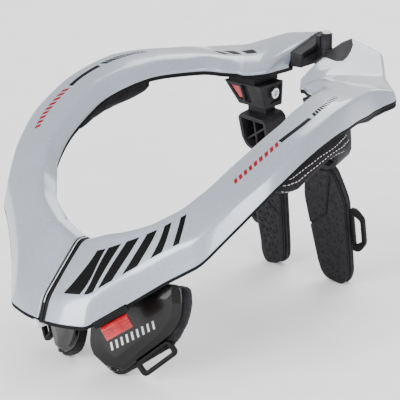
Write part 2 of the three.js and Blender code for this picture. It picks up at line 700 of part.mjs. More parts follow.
// Foam pads under the arms, filling the trays and hanging below them.
function padSection(s, spot) {
  const deep = insetPath(sharpPath(s), SHELL_WALL + TRAY_CLEAR + TRAY_WALL + PAD_CLEAR);
  const lipLow = -s.bevelDrop - s.lip - 2 * GAP - TRAY_LIP_IN;
  const rimLow = s.rise - s.wallDrop - 2 * GAP - TRAY_LIP_OUT;
  const rimU = s.width + s.wallOut;
  const near = Math.min(1, (spot - SHOULDER_FROM) / 0.7);
  const far = Math.min(1, (SHOULDER_TO - spot) / 0.2);
  const full = Math.sqrt(Math.max(0, Math.min(near, far)));
  const inner = 2 + (PAD_DROP_IN - 2) * full;
  const outer = 2 + (PAD_DROP_OUT - 2) * full;
  return [
    [1.5 - s.bevelIn, lipLow - inner * 0.7],
    [1.5 - s.bevelIn, lipLow],
    [deep[0][0], lipLow],
    deep[2],
    deep[3],
    [deep[4][0], rimLow],
    [rimU - 3, rimLow],
    [rimU - 4 + (PAD_WING + 4) * full, rimLow - outer * 0.55],
    [rimU - 9, rimLow - outer],
    [4.5 - s.bevelIn, lipLow - inner],
  ];
}
const padStations = [
  SHOULDER_FROM,
  ...[0.08, 0.25, 0.45, 0.7].map((step) => SHOULDER_FROM + step),
  ...stations.filter((spot) => spot > SHOULDER_FROM + 1 && spot < SHOULDER_TO - 0.3),
  ...[0.2, 0.1].map((step) => SHOULDER_TO - step),
  SHOULDER_TO,
];
const shoulderPad = bandLoft(padSection, padStations);

const finish = (name, color, roughness, metalness = 0) => (
  new THREE.MeshStandardMaterial({ name, color, roughness, metalness })
);
const shellFinish = finish('shell_white', 0xe4e7ec, 0.22);
const trayFinish = finish('tray_black', 0x1b1b1e, 0.55);
const plateFinish = finish('plate_gloss_black', 0x141416, 0.25);
const strutFinish = finish('strut_grey', 0x4a484c, 0.6);
const padFinish = finish('pad_foam', 0x3a383b, 0.9);
const redFinish = finish('lever_red', 0xd8232f, 0.4);
const clearFinish = finish('pin_grey', 0xb9bbbe, 0.35);
const screwFinish = finish('screw_steel', 0xc9cbd0, 0.25, 1);

const trayFull = join(trayHalf, chestArm, bracketBoss);
const pieces = [
  ['shell_left', cut(shellHalf, neckRoom, latchRoom), shellFinish],
  ['shell_right', mirrored(shellHalf), shellFinish],
  ['tray_left', cut(trayFull, neckRoom, latchRoom), trayFinish],
  ['tray_right', cut(mirrored(trayFull), latchPinRoom), trayFinish],
  ['seam_strip_left', seamPlate, trayFinish],
  ['seam_strip_right', cut(mirrored(seamPlate), latchPinRoom), trayFinish],
  ['latch_pin', latchPin, clearFinish],
  ['latch_bar', latchBar, trayFinish],
  ['release_tab', lever, redFinish],
  ['hinge_cap_left', capLeft, trayFinish],
  ['hinge_cap_right', mirrored(capRight), trayFinish],
  ['hinge_pin', hingePin, screwFinish],
];
const pairs = [
  ['shoulder_pad', shoulderPad, padFinish],
  ['chest_plate', chestPlate, plateFinish],
  ['chest_pad', chestPad, padFinish],
  ['chest_loop', chestLoop, strutFinish],
  ['strut_bracket', bracket, strutFinish],
  ['angle_wedge', wedge, redFinish],
  ['strut_screw', screw, screwFinish],
  ['strut_head', head, strutFinish],
  ['strut_leg', legPlate, strutFinish],
  ['strut_pad', legPad, padFinish],
  ['strut_loop', legLoop, strutFinish],
];
for (const [name, geometry, material] of pairs) {
  pieces.push([`${name}_left`, geometry, material], [`${name}_right`, mirrored(geometry), material]);
}

const group = new THREE.Group();
group.name = 'neck_brace';
for (const [name, geometry, material] of pieces) {
  const mesh = new THREE.Mesh(geometry, material);
  mesh.name = name;
  group.add(mesh);
}

// The origin is the middle of the footprint on the floor.
const bounds = new THREE.Box3().setFromObject(group);
const middle = bounds.getCenter(new THREE.Vector3());
for (const mesh of group.children) {
  mesh.geometry.translate(0, -middle.y, -bounds.min.z);
}

export default group;
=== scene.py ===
import math

import bmesh
import bpy
import numpy as np
from mathutils import Matrix, Vector
from mathutils.bvhtree import BVHTree


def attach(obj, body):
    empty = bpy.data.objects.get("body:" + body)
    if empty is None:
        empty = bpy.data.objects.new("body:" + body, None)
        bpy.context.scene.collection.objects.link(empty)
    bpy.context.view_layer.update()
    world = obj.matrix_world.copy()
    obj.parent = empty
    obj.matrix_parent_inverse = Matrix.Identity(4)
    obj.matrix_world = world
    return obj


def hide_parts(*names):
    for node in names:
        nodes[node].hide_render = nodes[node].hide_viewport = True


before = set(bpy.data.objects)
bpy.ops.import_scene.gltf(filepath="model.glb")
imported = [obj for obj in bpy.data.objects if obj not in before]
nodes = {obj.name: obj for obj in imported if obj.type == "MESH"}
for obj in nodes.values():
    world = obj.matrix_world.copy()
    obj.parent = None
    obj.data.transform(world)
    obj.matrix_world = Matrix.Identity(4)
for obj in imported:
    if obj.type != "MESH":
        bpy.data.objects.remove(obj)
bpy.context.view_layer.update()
scene = bpy.context.scene

# Camera: 41 degrees round from the front, 19 degrees up, a long lens.
view = dict(azimuth=41.0, elevation=19.4, place=(0.9657, -1.10885, 0.6058), lens=205.3)


def makeCamera():
    data = bpy.data.cameras.new("camera")
    data.lens = view["lens"]
    data.sensor_width = 36.0
    data.clip_end = 20.0
    camera = bpy.data.objects.new("camera", data)
    a, e = math.radians(view["azimuth"]), math.radians(view["elevation"])
    right = Vector((math.cos(a), math.sin(a), 0))
    up = Vector((-math.sin(a) * math.sin(e), math.cos(a) * math.sin(e), math.cos(e)))
    turn = Matrix((right, up, right.cross(up))).transposed().to_4x4()
    camera.matrix_world = Matrix.Translation(Vector(view["place"])) @ turn
    scene.collection.objects.link(camera)
    scene.camera = camera


makeCamera()
print("camera placed")


# Materials.
def linearColour(hexText):
    parts = np.array([int(hexText[i:i + 2], 16) for i in (1, 3, 5)]) / 255
    flat = np.where(parts <= 0.04045, parts / 12.92, ((parts + 0.055) / 1.055) ** 2.4)
    return (*flat.tolist(), 1.0)


def addNode(tree, kind, settings, links=()):
    node = tree.nodes.new("ShaderNode" + kind)
    for key, value in settings.items():
        if isinstance(key, int) or key in node.inputs:
            node.inputs[key].default_value = value
        else:
            setattr(node, key, value)
    for key, source in links:
        tree.links.new(source, node.inputs[key])
    return node


def newMaterial(name, shader):
    material = bpy.data.materials.new(name)
    material.use_nodes = True
    tree = material.node_tree
    body = tree.nodes["Principled BSDF"]
    for key, value in shader.items():
        body.inputs[key].default_value = value
    place = addNode(tree, "TexCoord", {}).outputs["Object"]
    return material, tree, body, place


def twoTone(tree, body, pattern, first, second, low=0.35, high=0.65):
    # The base colour goes from the first to the second as the pattern goes from low to high.
    spread = addNode(tree, "MapRange", {"From Min": low, "From Max": high}, [("Value", pattern)])
    mix = addNode(
        tree, "Mix", {"data_type": "RGBA", 6: linearColour(first), 7: linearColour(second)},
        [(0, spread.outputs["Result"])],
    )
    tree.links.new(mix.outputs[2], body.inputs["Base Color"])
    return spread.outputs["Result"]


def roughBetween(tree, body, pattern, low, high):
    spread = addNode(tree, "MapRange", {"To Min": low, "To Max": high}, [("Value", pattern)])
    tree.links.new(spread.outputs["Result"], body.inputs["Roughness"])


def raiseBy(tree, body, pattern, millimetres, strength=1.0):
    bump = addNode(
        tree, "Bump", {"Distance": millimetres * 0.001, "Strength": strength}, [("Height", pattern)])
    tree.links.new(bump.outputs["Normal"], body.inputs["Normal"])


def noiseOf(tree, place, millimetres, detail=3.0, roughness=0.5):
    return addNode(
        tree, "TexNoise", {"Scale": 1000 / millimetres, "Detail": detail, "Roughness": roughness},
        [("Vector", place)],
    ).outputs["Fac"]


def paintedShell():
    # Injection moulded polycarbonate, sprayed pearl white under clear coat: flake, slight orange peel.
    made, tree, body, place = newMaterial("pearlPaintedPolycarbonate", {
        "Roughness": 0.3, "Metallic": 0.2, "Coat Weight": 0.7, "Coat Roughness": 0.08, "IOR": 1.5})
    flake = noiseOf(tree, place, 0.9, 2.0, 0.7)  # real flake is finer, drawn coarse enough to show
    twoTone(tree, body, flake, "#7F8692", "#8F959F", 0.3, 0.7)
    roughBetween(tree, body, noiseOf(tree, place, 22, 3.0), 0.24, 0.36)
    raiseBy(tree, body, noiseOf(tree, place, 2.2, 1.5), 0.012)
    return made


def mouldedPlastic(name, dark, light, rough, grain, height, coat=0.0):
    # Injection moulded plastic with a spark eroded grain: fine even pits under a slow change of tone.
    made, tree, body, place = newMaterial(name, {
        "IOR": 1.5, "Specular IOR Level": 0.12, "Coat Weight": coat, "Coat Roughness": 0.1})
    pits = addNode(tree, "TexVoronoi", {"Scale": 1000 / grain, "feature": "SMOOTH_F1"}, [("Vector", place)])
    twoTone(tree, body, noiseOf(tree, place, 7, 5.0, 0.65), dark, light)
    roughBetween(tree, body, noiseOf(tree, place, 3.5, 4.0), rough - 0.08, rough + 0.1)
    raiseBy(tree, body, pits.outputs["Distance"], height)
    return made


def glossPlate():
    # Polished ABS: near black under a thin coat, with faint wiping marks in the gloss.
    made, tree, body, place = newMaterial("polishedBlackAbs", {
        "IOR": 1.53, "Specular IOR Level": 0.22, "Coat Weight": 0.15, "Coat Roughness": 0.06})
    stretched = addNode(tree, "Mapping", {"Scale": (1.0, 1.0, 0.12)}, [("Vector", place)])
    wipes = noiseOf(tree, stretched.outputs["Vector"], 1.1, 3.0, 0.6)
    twoTone(tree, body, noiseOf(tree, place, 9), "#030304", "#070708")
    roughBetween(tree, body, wipes, 0.16, 0.3)
    raiseBy(tree, body, noiseOf(tree, place, 3.0, 1.0), 0.006)
    return made


def closedCellFoam(name, dark, light, cell):
    # Moulded EVA foam: matt skin with fine closed cells and a soft bloom.
    made, tree, body, place = newMaterial(name, {
        "Roughness": 0.82, "IOR": 1.45, "Specular IOR Level": 0.12,
        "Sheen Weight": 0.03, "Sheen Roughness": 0.5})
    cells = addNode(tree, "TexVoronoi", {"Scale": 1000 / cell, "Randomness": 0.9}, [("Vector", place)])
    twoTone(tree, body, noiseOf(tree, place, 2.5, 6.0, 0.7), dark, light)
    roughBetween(tree, body, noiseOf(tree, place, 5.0), 0.6, 0.88)
    raiseBy(tree, body, cells.outputs["Distance"], 0.14)
    return made


def perforatedMesh():
    # Knitted spacer mesh over foam: round holes about 2 mm apart in a dark matt knit, each hole painted
    # darker than the knit as painted shade inside it.
    made, tree, body, place = newMaterial("knittedSpacerMesh", {
        "IOR": 1.45, "Specular IOR Level": 0.12, "Sheen Weight": 0.03, "Sheen Roughness": 0.45})
    holes = addNode(tree, "TexVoronoi", {"Scale": 1000 / 2.1, "Randomness": 0.12}, [("Vector", place)])
    edge = addNode(
        tree, "MapRange", {"From Min": 0.16, "From Max": 0.34}, [("Value", holes.outputs["Distance"])])
    # Painted shade: the holes get the darker colour, standing in for the shade that falls into them.
    mix = addNode(
        tree, "Mix", {"data_type": "RGBA", 6: linearColour("#040405"), 7: linearColour("#1B191C")},
        [(0, edge.outputs["Result"])])
    tree.links.new(mix.outputs[2], body.inputs["Base Color"])
    roughBetween(tree, body, noiseOf(tree, place, 1.2, 4.0), 0.7, 0.92)
    raiseBy(tree, body, edge.outputs["Result"], 0.35)
    return made


def platedSteel():
    # Zinc plated steel: bright, with wavy turning marks a little over a millimetre apart.
    made, tree, body, place = newMaterial("turnedPlatedSteel", {"Metallic": 1.0})
    rings = addNode(
        tree, "TexWave", {"Scale": 1000 / 4.0, "Distortion": 1.5, "wave_type": "RINGS", "Detail": 2.0},
        [("Vector", place)])
    twoTone(tree, body, noiseOf(tree, place, 3, 4.0), "#B9BCC2", "#DADCE0")
    roughBetween(tree, body, rings.outputs["Fac"], 0.16, 0.34)
    raiseBy(tree, body, noiseOf(tree, place, 0.5, 2.0), 0.008)
    return made


def noiseFinish(name, shader, dark, light, tone, rough, bump, spread=(0.35, 0.65)):
    # Colour, gloss and relief each follow a noise: its size in mm and detail come first in tone and bump,
    # its size and the lowest and highest roughness in rough, and the height in mm ends bump.
    made, tree, body, place = newMaterial(name, shader)
    twoTone(tree, body, noiseOf(tree, place, *tone), dark, light, *spread)
    roughBetween(tree, body, noiseOf(tree, place, rough[0]), *rough[1:])
    raiseBy(tree, body, noiseOf(tree, place, bump[0], 2.0), bump[1])
    return made


# Screen printed ink over the coat: satin, a little mottled where the screen lifted.
ink = dict(shader={"IOR": 1.5, "Specular IOR Level": 0.08}, tone=(0.8, 4.0, 0.7), rough=(3.0, 0.5, 0.65),
           bump=(0.6, 0.01), spread=(0.4, 0.75))
finish = dict(
    shell=paintedShell(),
    tray=mouldedPlastic("grainedBlackNylon", "#070708", "#101012", 0.5, 0.8, 0.05),
    plate=glossPlate(),
    bevel=mouldedPlastic("satinGreyAbs", "#3A393E", "#4C4A50", 0.4, 0.8, 0.03, 0.2),
    strut=mouldedPlastic("grainedCharcoalNylon", "#19181A", "#28262A", 0.52, 0.9, 0.06),
    foam=closedCellFoam("closedCellEvaFoam", "#151416", "#262427", 0.9),
    rough=closedCellFoam("cutFoamEdge", "#1C1B1D", "#7B797C", 1.6),
    mesh=perforatedMesh(),
    # Moulded acetal, translucent red: lets a little light through at the ribs.
    red=noiseFinish(
        "mouldedRedAcetal",
        {"IOR": 1.48, "Coat Weight": 0.3, "Subsurface Weight": 0.12, "Subsurface Scale": 0.002},
        "#7E0911", "#A3141D", (4, 4.0), (2.0, 0.25, 0.42), (0.7, 0.02)),
    steel=platedSteel(),
    # Natural nylon: milky light grey, slightly see-through.
    pin=noiseFinish(
        "mouldedNaturalNylon", {"IOR": 1.53, "Subsurface Weight": 0.2, "Subsurface Scale": 0.002},
        "#A9ABAE", "#C9CBCE", (3, 4.0), (2.0, 0.3, 0.5), (0.9, 0.015)),
    black=noiseFinish("printedBlackInk", dark="#030303", light="#080808", **ink),
    whiteInk=noiseFinish("printedWhiteInk", dark="#B9BBBE", light="#DADBDD", **ink),
    redInk=noiseFinish("printedRedInk", dark="#6E0B18", light="#8A1523", **ink),
    thread=closedCellFoam("twistedPolyesterThread", "#A3A1A6", "#D0CED2", 0.5),
)
print("materials made:", len(finish))

# Drawing millimetres to the frame's metres.
drawing = dict(shift=(0.0, -153.45, 0.10))


def toMetres(points):
    return (np.asarray(points, float) + drawing["shift"]) * 0.001


def outwardMesh(mesh, sharp):
    body = bmesh.new()
    body.from_mesh(mesh)
    if body.calc_volume(signed=True) < 0:
        bmesh.ops.reverse_faces(body, faces=body.faces)
    body.to_mesh(mesh)
    body.free()
    mesh.shade_smooth()
    mesh.set_sharp_from_angle(angle=math.radians(sharp))


def makeMesh(name, points, faces, sharp=35, slots=None):
    # points are drawing millimetres, faces lists of corners, slots the material number of each face.
    mesh = bpy.data.meshes.new(name)
    mesh.from_pydata(toMetres(points).tolist(), [], faces)
    mesh.update()
    if slots is not None:
        mesh.polygons.foreach_set("material_index", np.asarray(slots, np.int32))
    outwardMesh(mesh, sharp)
    piece = bpy.data.objects.new(name, mesh)
    scene.collection.objects.link(piece)
    return piece


def settle(piece, materials, body, slot, *replaced):
    piece.data.materials.clear()
    for made in materials:
        piece.data.materials.append(made)
    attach(piece, body)
    if replaced:
        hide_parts(*replaced)
    return piece


def loopFaces(rows, columns, closed=False):
    # Quads between neighbouring loops of points, each loop joined to itself.
    a = np.arange(rows * columns).reshape(rows, columns)
    b = np.roll(a, -1, axis=1)
    upper, upperNext = (np.roll(a, -1, axis=0), np.roll(b, -1, axis=0)) if closed else (a[1:], b[1:])
    lower, lowerNext = (a, b) if closed else (a[:-1], b[:-1])
    return np.stack((lower, lowerNext, upperNext, upper), -1).reshape(-1, 4).tolist()


def loopPiece(name, loops, sharp=35, closed=False):
    # A solid skin over a row of closed loops, with a flat face on each end.
    rows, columns = loops.shape[:2]
    faces = loopFaces(rows, columns, closed)
    if not closed:
        faces += [list(range(columns))[::-1], list(range((rows - 1) * columns, rows * columns))]
    return makeMesh(name, loops.reshape(-1, 3), faces, sharp)


def roundedLoops(corners, radii, steps):
    # Each corner gives way to a parabola that starts and ends the radius away along its two sides,
    # and at most 45 percent of a side away.
    before, after = np.roll(corners, 1, axis=1) - corners, np.roll(corners, -1, axis=1) - corners
    lengthB = np.linalg.norm(before, axis=2, keepdims=True)
    lengthA = np.linalg.norm(after, axis=2, keepdims=True)
    reach = np.minimum(np.asarray(radii, float)[None, :, None], 0.45 * np.minimum(lengthA, lengthB))
    start, end = corners + before / lengthB * reach, corners + after / lengthA * reach
    t = np.linspace(0, 1, steps + 1)[None, None, :, None]
    arc = (1 - t) ** 2 * start[:, :, None] + 2 * t * (1 - t) * corners[:, :, None] + t ** 2 * end[:, :, None]
    return arc.reshape(len(corners), -1, 2)


def carve(piece, cutter, operation="DIFFERENCE", sharp=35):
    change = piece.modifiers.new("carve", "BOOLEAN")
    change.object, change.operation, change.solver = cutter, operation, "MANIFOLD"
    graph = bpy.context.evaluated_depsgraph_get()
    mesh = bpy.data.meshes.new_from_object(piece.evaluated_get(graph))
    piece.modifiers.clear()
    piece.data = mesh
    bpy.data.objects.remove(cutter)
    outwardMesh(mesh, sharp)
    return piece


# The ring: one row for each section of the left half, from the front seam to the rear cut.
ring = dict(
    halfWidth=110.0, length=305.0, height=175.0, band=40.0, gap=0.3, wall=2.4, crown=0.8,
    trayClear=0.9, trayWall=2.6, lipIn=2.4, lipOut=2.0, rearLip=2.4, soften=1.6, spacing=1.1)
# Columns: crest x, y, z, edge x, y, z, bevel in, bevel drop, lip, wall out, wall drop, smoothed or not.
# Places are shares of half width, length and height, and sizes are shares of the band.
ringRows = np.array([
    (0.028, 0.121, 0.527, 0.028, 0.017, 0.352, 0.25, 0.03, 0.23, 0.13, 0.36, 1),
    (0.126, 0.119, 0.554, 0.152, 0.022, 0.359, 0.25, 0.04, 0.23, 0.13, 0.38, 1),
    (0.198, 0.122, 0.571, 0.283, 0.033, 0.370, 0.25, 0.05, 0.20, 0.12, 0.40, 0),
    (0.266, 0.136, 0.582, 0.350, 0.059, 0.411, 0.25, 0.06, 0.19, 0.12, 0.45, 1),
    (0.359, 0.152, 0.603, 0.467, 0.102, 0.474, 0.25, 0.09, 0.16, 0.11, 0.44, 1),
    (0.447, 0.172, 0.627, 0.597, 0.140, 0.541, 0.26, 0.12, 0.14, 0.10, 0.42, 1),
    (0.512, 0.194, 0.656, 0.692, 0.164, 0.583, 0.27, 0.16, 0.11, 0.09, 0.42, 1),
    (0.573, 0.220, 0.688, 0.777, 0.187, 0.621, 0.26, 0.20, 0.09, 0.09, 0.40, 1),
    (0.620, 0.247, 0.727, 0.841, 0.227, 0.690, 0.23, 0.24, 0.07, 0.09, 0.39, 1),
    (0.655, 0.272, 0.760, 0.894, 0.267, 0.743, 0.21, 0.28, 0.06, 0.09, 0.33, 1),
    (0.696, 0.336, 0.829, 0.951, 0.334, 0.816, 0.18, 0.27, 0.05, 0.09, 0.26, 1),
    (0.717, 0.427, 0.897, 0.971, 0.417, 0.884, 0.17, 0.23, 0.05, 0.09, 0.26, 1),
    (0.709, 0.481, 0.922, 0.964, 0.477, 0.922, 0.17, 0.21, 0.05, 0.09, 0.29, 1),
    (0.674, 0.539, 0.941, 0.936, 0.551, 0.954, 0.17, 0.19, 0.05, 0.09, 0.35, 1),
    (0.643, 0.588, 0.950, 0.906, 0.604, 0.963, 0.17, 0.18, 0.05, 0.10, 0.38, 1),
    (0.597, 0.639, 0.955, 0.858, 0.661, 0.960, 0.17, 0.20, 0.05, 0.10, 0.38, 1),
    (0.513, 0.712, 0.947, 0.805, 0.723, 0.949, 0.18, 0.19, 0.05, 0.10, 0.38, 1),
    (0.434, 0.744, 0.945, 0.764, 0.785, 0.937, 0.25, 0.20, 0.05, 0.10, 0.34, 1),
    (0.372, 0.772, 0.940, 0.795, 0.844, 0.910, 0.31, 0.19, 0.05, 0.05, 0.16, 0),
    (0.316, 0.796, 0.930, 0.570, 0.916, 0.919, 0.35, 0.17, 0.05, 0.06, 0.20, 0),
    (0.231, 0.821, 0.927, 0.382, 0.996, 0.968, 0.35, 0.16, 0.05, 0.07, 0.33, 0),
    (0.150, 0.840, 0.938, 0.218, 0.999, 0.987, 0.28, 0.19, 0.05, 0.07, 0.38, 0),
    (0.130, 0.885, 0.949, 0.130, 1.001, 0.999, 0.06, 0.25, 0.05, 0.07, 0.40, 0),
])


def blendRows(places):
    # Crest and edge follow a cubic through the rows, straight between two unsmoothed rows.
    # Sizes are straight.
    low = np.minimum(np.floor(places).astype(int), len(ringRows) - 2)
    t = (places - low)[:, None]
    scale = np.tile((ring["halfWidth"], ring["length"], ring["height"]), 2)
    spots, smooth = ringRows[:, :6] * scale, ringRows[:, 11] == 1
    b, c = spots[low], spots[low + 1]
    a = np.where((smooth[low] & (low > 0))[:, None], spots[np.maximum(low - 1, 0)], b)
    last = len(ringRows) - 1
    d = np.where((smooth[low + 1] & (low + 2 <= last))[:, None], spots[np.minimum(low + 2, last)], c)
    cubic = (
        2 * b + (c - a) * t + (2 * a - 5 * b + 4 * c - d) * t ** 2 + (3 * b - a - 3 * c + d) * t ** 3) / 2
    spot = np.where((smooth[low] | smooth[low + 1])[:, None], cubic, b + (c - b) * t)
    sizes = ringRows[:, 6:11] * ring["band"]
    return np.hstack((spot, sizes[low] + (sizes[low + 1] - sizes[low]) * t))


def softenedRing():
    # The blended rows laid out by length and smoothed with a bell curve, so no row leaves a hard line.
    places = np.linspace(0, len(ringRows) - 1, 4401)
    values = blendRows(places)
    middle = (values[:, :3] + values[:, 3:6]) / 2
    length = np.concatenate(([0.0], np.cumsum(np.linalg.norm(np.diff(middle, axis=0), axis=1))))
    step = 0.25
    even = np.linspace(0, length[-1], int(length[-1] / step) + 1)
    laid = np.stack([np.interp(even, length, column) for column in values.T], 1)
    reach = int(4 * ring["soften"] / step)
    bell = np.exp(-0.5 * (np.arange(-reach, reach + 1) * step / ring["soften"]) ** 2)
    padded = np.concatenate((2 * laid[:1] - laid[reach:0:-1], laid, 2 * laid[-1:] - laid[-2:-reach - 2:-1]))
    soft = np.stack([np.convolve(column, bell / bell.sum(), "valid") for column in padded.T], 1)
    return places, length, even, soft


ringPlaces, ringLength, ringEven, ringSoft = softenedRing()


def lengthAt(place):
    return np.interp(place, ringPlaces, ringLength)


def bandAt(lengths):
    # The band's sections at distances along it, as arrays: crest, outward way, width, rise and five sizes.
    values = np.stack([np.interp(lengths, ringEven, column) for column in ringSoft.T], 1)
    crest, edge = values[:, :3], values[:, 3:6]
    out = (edge - crest) * (1, 1, 0)
    width = np.linalg.norm(out, axis=1)
    return dict(
        at=lengths, crest=crest, out=out / width[:, None], width=width, rise=edge[:, 2] - crest[:, 2],
        **dict(zip(("bevelIn", "bevelDrop", "lip", "wallOut", "wallDrop"), values[:, 6:].T)))


def place3(band, flat):
    # u runs outward from the crest and v up from it.
    up = np.array((0.0, 0.0, 1.0))
    return band["crest"][:, None] + band["out"][:, None] * flat[..., :1] + up * flat[..., 1:]


def pairs(*columns):
    # Corners of a section from pairs (u, v), each an array with one value for each station.
    return np.stack([np.stack(np.broadcast_arrays(u, v), -1) for u, v in columns], 1)


def sharpPath(band):
    low = -band["bevelDrop"] - band["lip"]
    return pairs(
        (-band["bevelIn"], low), (-band["bevelIn"], -band["bevelDrop"]),
        (np.zeros_like(low), np.zeros_like(low)), (band["width"], band["rise"]),
        (band["width"] + band["wallOut"], band["rise"] - band["wallDrop"]))


def insetPath(path, distance):
    # Every side moves inward by the distance, corners mitred, and the last corner stays at its height.
    side = np.diff(path, axis=1)
    side /= np.linalg.norm(side, axis=2, keepdims=True)
    normal = np.stack((side[..., 1], -side[..., 0]), -1)
    n1, n2 = normal[:, [0, 0, 1, 2, 3]], normal[:, [0, 1, 2, 3, 3]]
    moved = path + (n1 + n2) * distance / (1 + (n1 * n2).sum(-1, keepdims=True))
    end, before = moved[:, -1], moved[:, -2]
    share = (path[:, -1, 1] - before[:, 1]) / (end[:, 1] - before[:, 1])
    moved[:, -1] = before + (end - before) * share[:, None]
    return moved


def shellCorners(band):
    outer, inner = sharpPath(band), insetPath(sharpPath(band), ring["wall"])
    crown = [
        (band["width"] * share, band["rise"] * share + ring["crown"] * rise)
        for share, rise in ((0.28, 0.85), (0.5, 1.1), (0.72, 0.85))]
    return np.concatenate((outer[:, :3], pairs(*crown), outer[:, 3:], inner[:, ::-1]), axis=1)


shellRadii = (0.6, 1.2, 5.5, 6, 6, 6, 5.0, 0.9, 0.5, 2.6, 2.6, 0.6, 0.5)


def shrunk(loops, amounts):
    # Loops drawn in along their own normals, to round the ends of a band.
    way = np.roll(loops, -1, axis=1) - np.roll(loops, 1, axis=1)
    way /= np.maximum(np.linalg.norm(way, axis=2, keepdims=True), 1e-9)
    inward = np.stack((-way[..., 1], way[..., 0]), -1)
    area = (loops[..., 0] * np.roll(loops[..., 1], -1, axis=1)
            - np.roll(loops[..., 0], -1, axis=1) * loops[..., 1]).sum(1)
    return loops + inward * np.sign(area)[:, None, None] * np.asarray(amounts)[:, None, None]


def endRounded(low, high, spacing, radius):
    # Distances along the band, with a few close to each end, and how far each loop is drawn in there.
    middle = np.linspace(low + radius, high - radius, int((high - low) / spacing))
    turn = np.radians((0, 30, 60))
    ends, drawn = radius * (1 - np.cos(turn)), radius * (1 - np.sin(turn))
    places = np.concatenate((low + ends, middle, high - ends[::-1]))
    return places, np.concatenate((drawn, np.zeros(len(middle)), drawn[::-1]))


def bandPiece(name, corners, radii, side, low, high, steps=5, spacing=None, radius=0.5):
    lengths, drawn = endRounded(low, high, spacing or ring["spacing"], radius)
    band = bandAt(lengths)
    loops = shrunk(roundedLoops(corners(band), radii, steps), drawn)
    return loopPiece(name, place3(band, loops) * (side, 1, 1))


# Upright prisms in plan, used as cutters and for the rear neck.
def prism(name, plan, bottom, top):
    plan = np.asarray(plan, float)
    ring2 = np.stack([np.column_stack((plan, np.full(len(plan), z))) for z in (bottom, top)])
    return loopPiece(name, ring2)


def leaning(origin, yaw, pitch):
    # A frame turned about Z by yaw and leaned by pitch: columns across, up, face and origin.
    y, p = math.radians(yaw), math.radians(pitch)
    across = np.array((math.cos(y), math.sin(y), 0))
    face = np.array((math.sin(y) * math.cos(p), -math.cos(y) * math.cos(p), math.sin(p)))
    return np.stack((across, np.cross(face, across), face, np.asarray(origin, float)), 1)


def framed(axes, points):
    return np.asarray(points, float) @ axes[:, :3].T + axes[:, 3]


def boxIn(name, axes, low, high):
    (x0, y0, z0), (x1, y1, z1) = low, high
    flat = np.array(((x0, y0), (x1, y0), (x1, y1), (x0, y1)))
    ends = [framed(axes, np.column_stack((flat, np.full(4, z)))) for z in (z0, z1)]
    return loopPiece(name, np.stack(ends))


# Both halves end at the rear cut. The neck's plan steps forward from the high side of the cut.
rearCut = 22.0
cutLow, cutHigh = np.split(blendRows(np.array([rearCut]))[0, :6], 2)
neckSteps = ((0, 9), (14.8, 9), (14.8, -0.8), (21, -7.8), (26.5, -17.9), (29.4, -25.6), (30.5, -32))
neckPlan = [(x, cutHigh[1] + y) for x, y in neckSteps] + [(x, cutLow[1] - 0.1) for x in (26.8, 0)]
latch = dict(place=3.3, reach=0.4)


def latchAxes():
    def rimAt(place):
        values = blendRows(np.array([place]))[0]
        crest, edge, sizes = values[:3], values[3:6], values[6:]
        out = (edge - crest) * (1, 1, 0)
        return edge + out / np.linalg.norm(out) * sizes[3] - np.array((0, 0, sizes[4]))
    along = rimAt(latch["place"] + latch["reach"]) - rimAt(latch["place"] - latch["reach"])
    along /= np.linalg.norm(along)
    face = np.cross(along, (0, 0, 1))
    face /= np.linalg.norm(face)
    return np.stack((along, np.cross(face, along), face, rimAt(latch["place"])), 1)


latchFrame = latchAxes()
latchRoom = dict(low=(-12.8, -9, -6.3), high=(12.8, 0.9, 6))
neckRoom = dict(below=31, above=20)


def carveRooms(piece, sharp=35):
    # Room for the neck of the hinge cap and for the latch.
    bottom, top = cutLow[2] - neckRoom["below"], ring["height"] + neckRoom["above"]
    carve(piece, prism("neckRoom", neckPlan, bottom, top), sharp=sharp)
    carve(piece, boxIn("latchRoom", latchFrame, latchRoom["low"], latchRoom["high"]), sharp=sharp)


seamStart = 0.05  # where the paint starts along the ring
ringEnd = float(lengthAt(rearCut))
halves = (("left", 1), ("right", -1))

for sideName, side in halves:
    shell = bandPiece(f"paintedShell_{sideName}", shellCorners, shellRadii, side, seamStart, ringEnd)
    if side == 1:
        carveRooms(shell)
    settle(shell, [finish["shell"]], f"{sideName}_half", "shell_white", f"shell_{sideName}")
print("shells made")


def trayTop(band):
    # Corners of the tray's upper face, and the heights of its lip and rim.
    path = insetPath(sharpPath(band), ring["wall"] + ring["trayClear"])
    lipTop = -band["bevelDrop"] - band["lip"] - ring["gap"]
    rimTop = band["rise"] - band["wallDrop"] - ring["gap"]
    return *np.moveaxis(path, 1, 0), lipTop, rimTop


def trayCorners(band):
    low, hem, crest, edge, rim, lipTop, rimTop = trayTop(band)
    deep = insetPath(sharpPath(band), ring["wall"] + ring["trayClear"] + ring["trayWall"])
    rimOut = band["width"] + band["wallOut"]
    rear = np.clip((band["at"] - lengthAt(15.0)) / 25, 0, 1)
    rear = rear * np.clip((lengthAt(21.0) - band["at"]) / 12, 0, 1)
    drop = ring["lipOut"] + ring["rearLip"] * rear
    inner, lipIn = -band["bevelIn"], ring["lipIn"]
    return np.concatenate((pairs(
        (inner, lipTop - lipIn), (inner, lipTop - 1.5), (inner + 0.5, lipTop - 1.3),
        (inner + 0.5, lipTop - 1.0), (inner, lipTop - 0.8), (inner, lipTop), (low[:, 0], lipTop)),
        np.stack((hem, crest, edge), 1), pairs(
        (rim[:, 0], rimTop), (rimOut, rimTop), (rimOut, rimTop - drop * 0.3),
        (rimOut - 0.6, rimTop - drop * 0.4), (rimOut - 0.6, rimTop - drop * 0.55),
        (rimOut - 0.1, rimTop - drop * 0.65), (rimOut - 0.3, rimTop - drop),
        (deep[:, 4, 0], rimTop - drop)), deep[:, [3, 2]], pairs((deep[:, 0, 0], lipTop - lipIn))), axis=1)


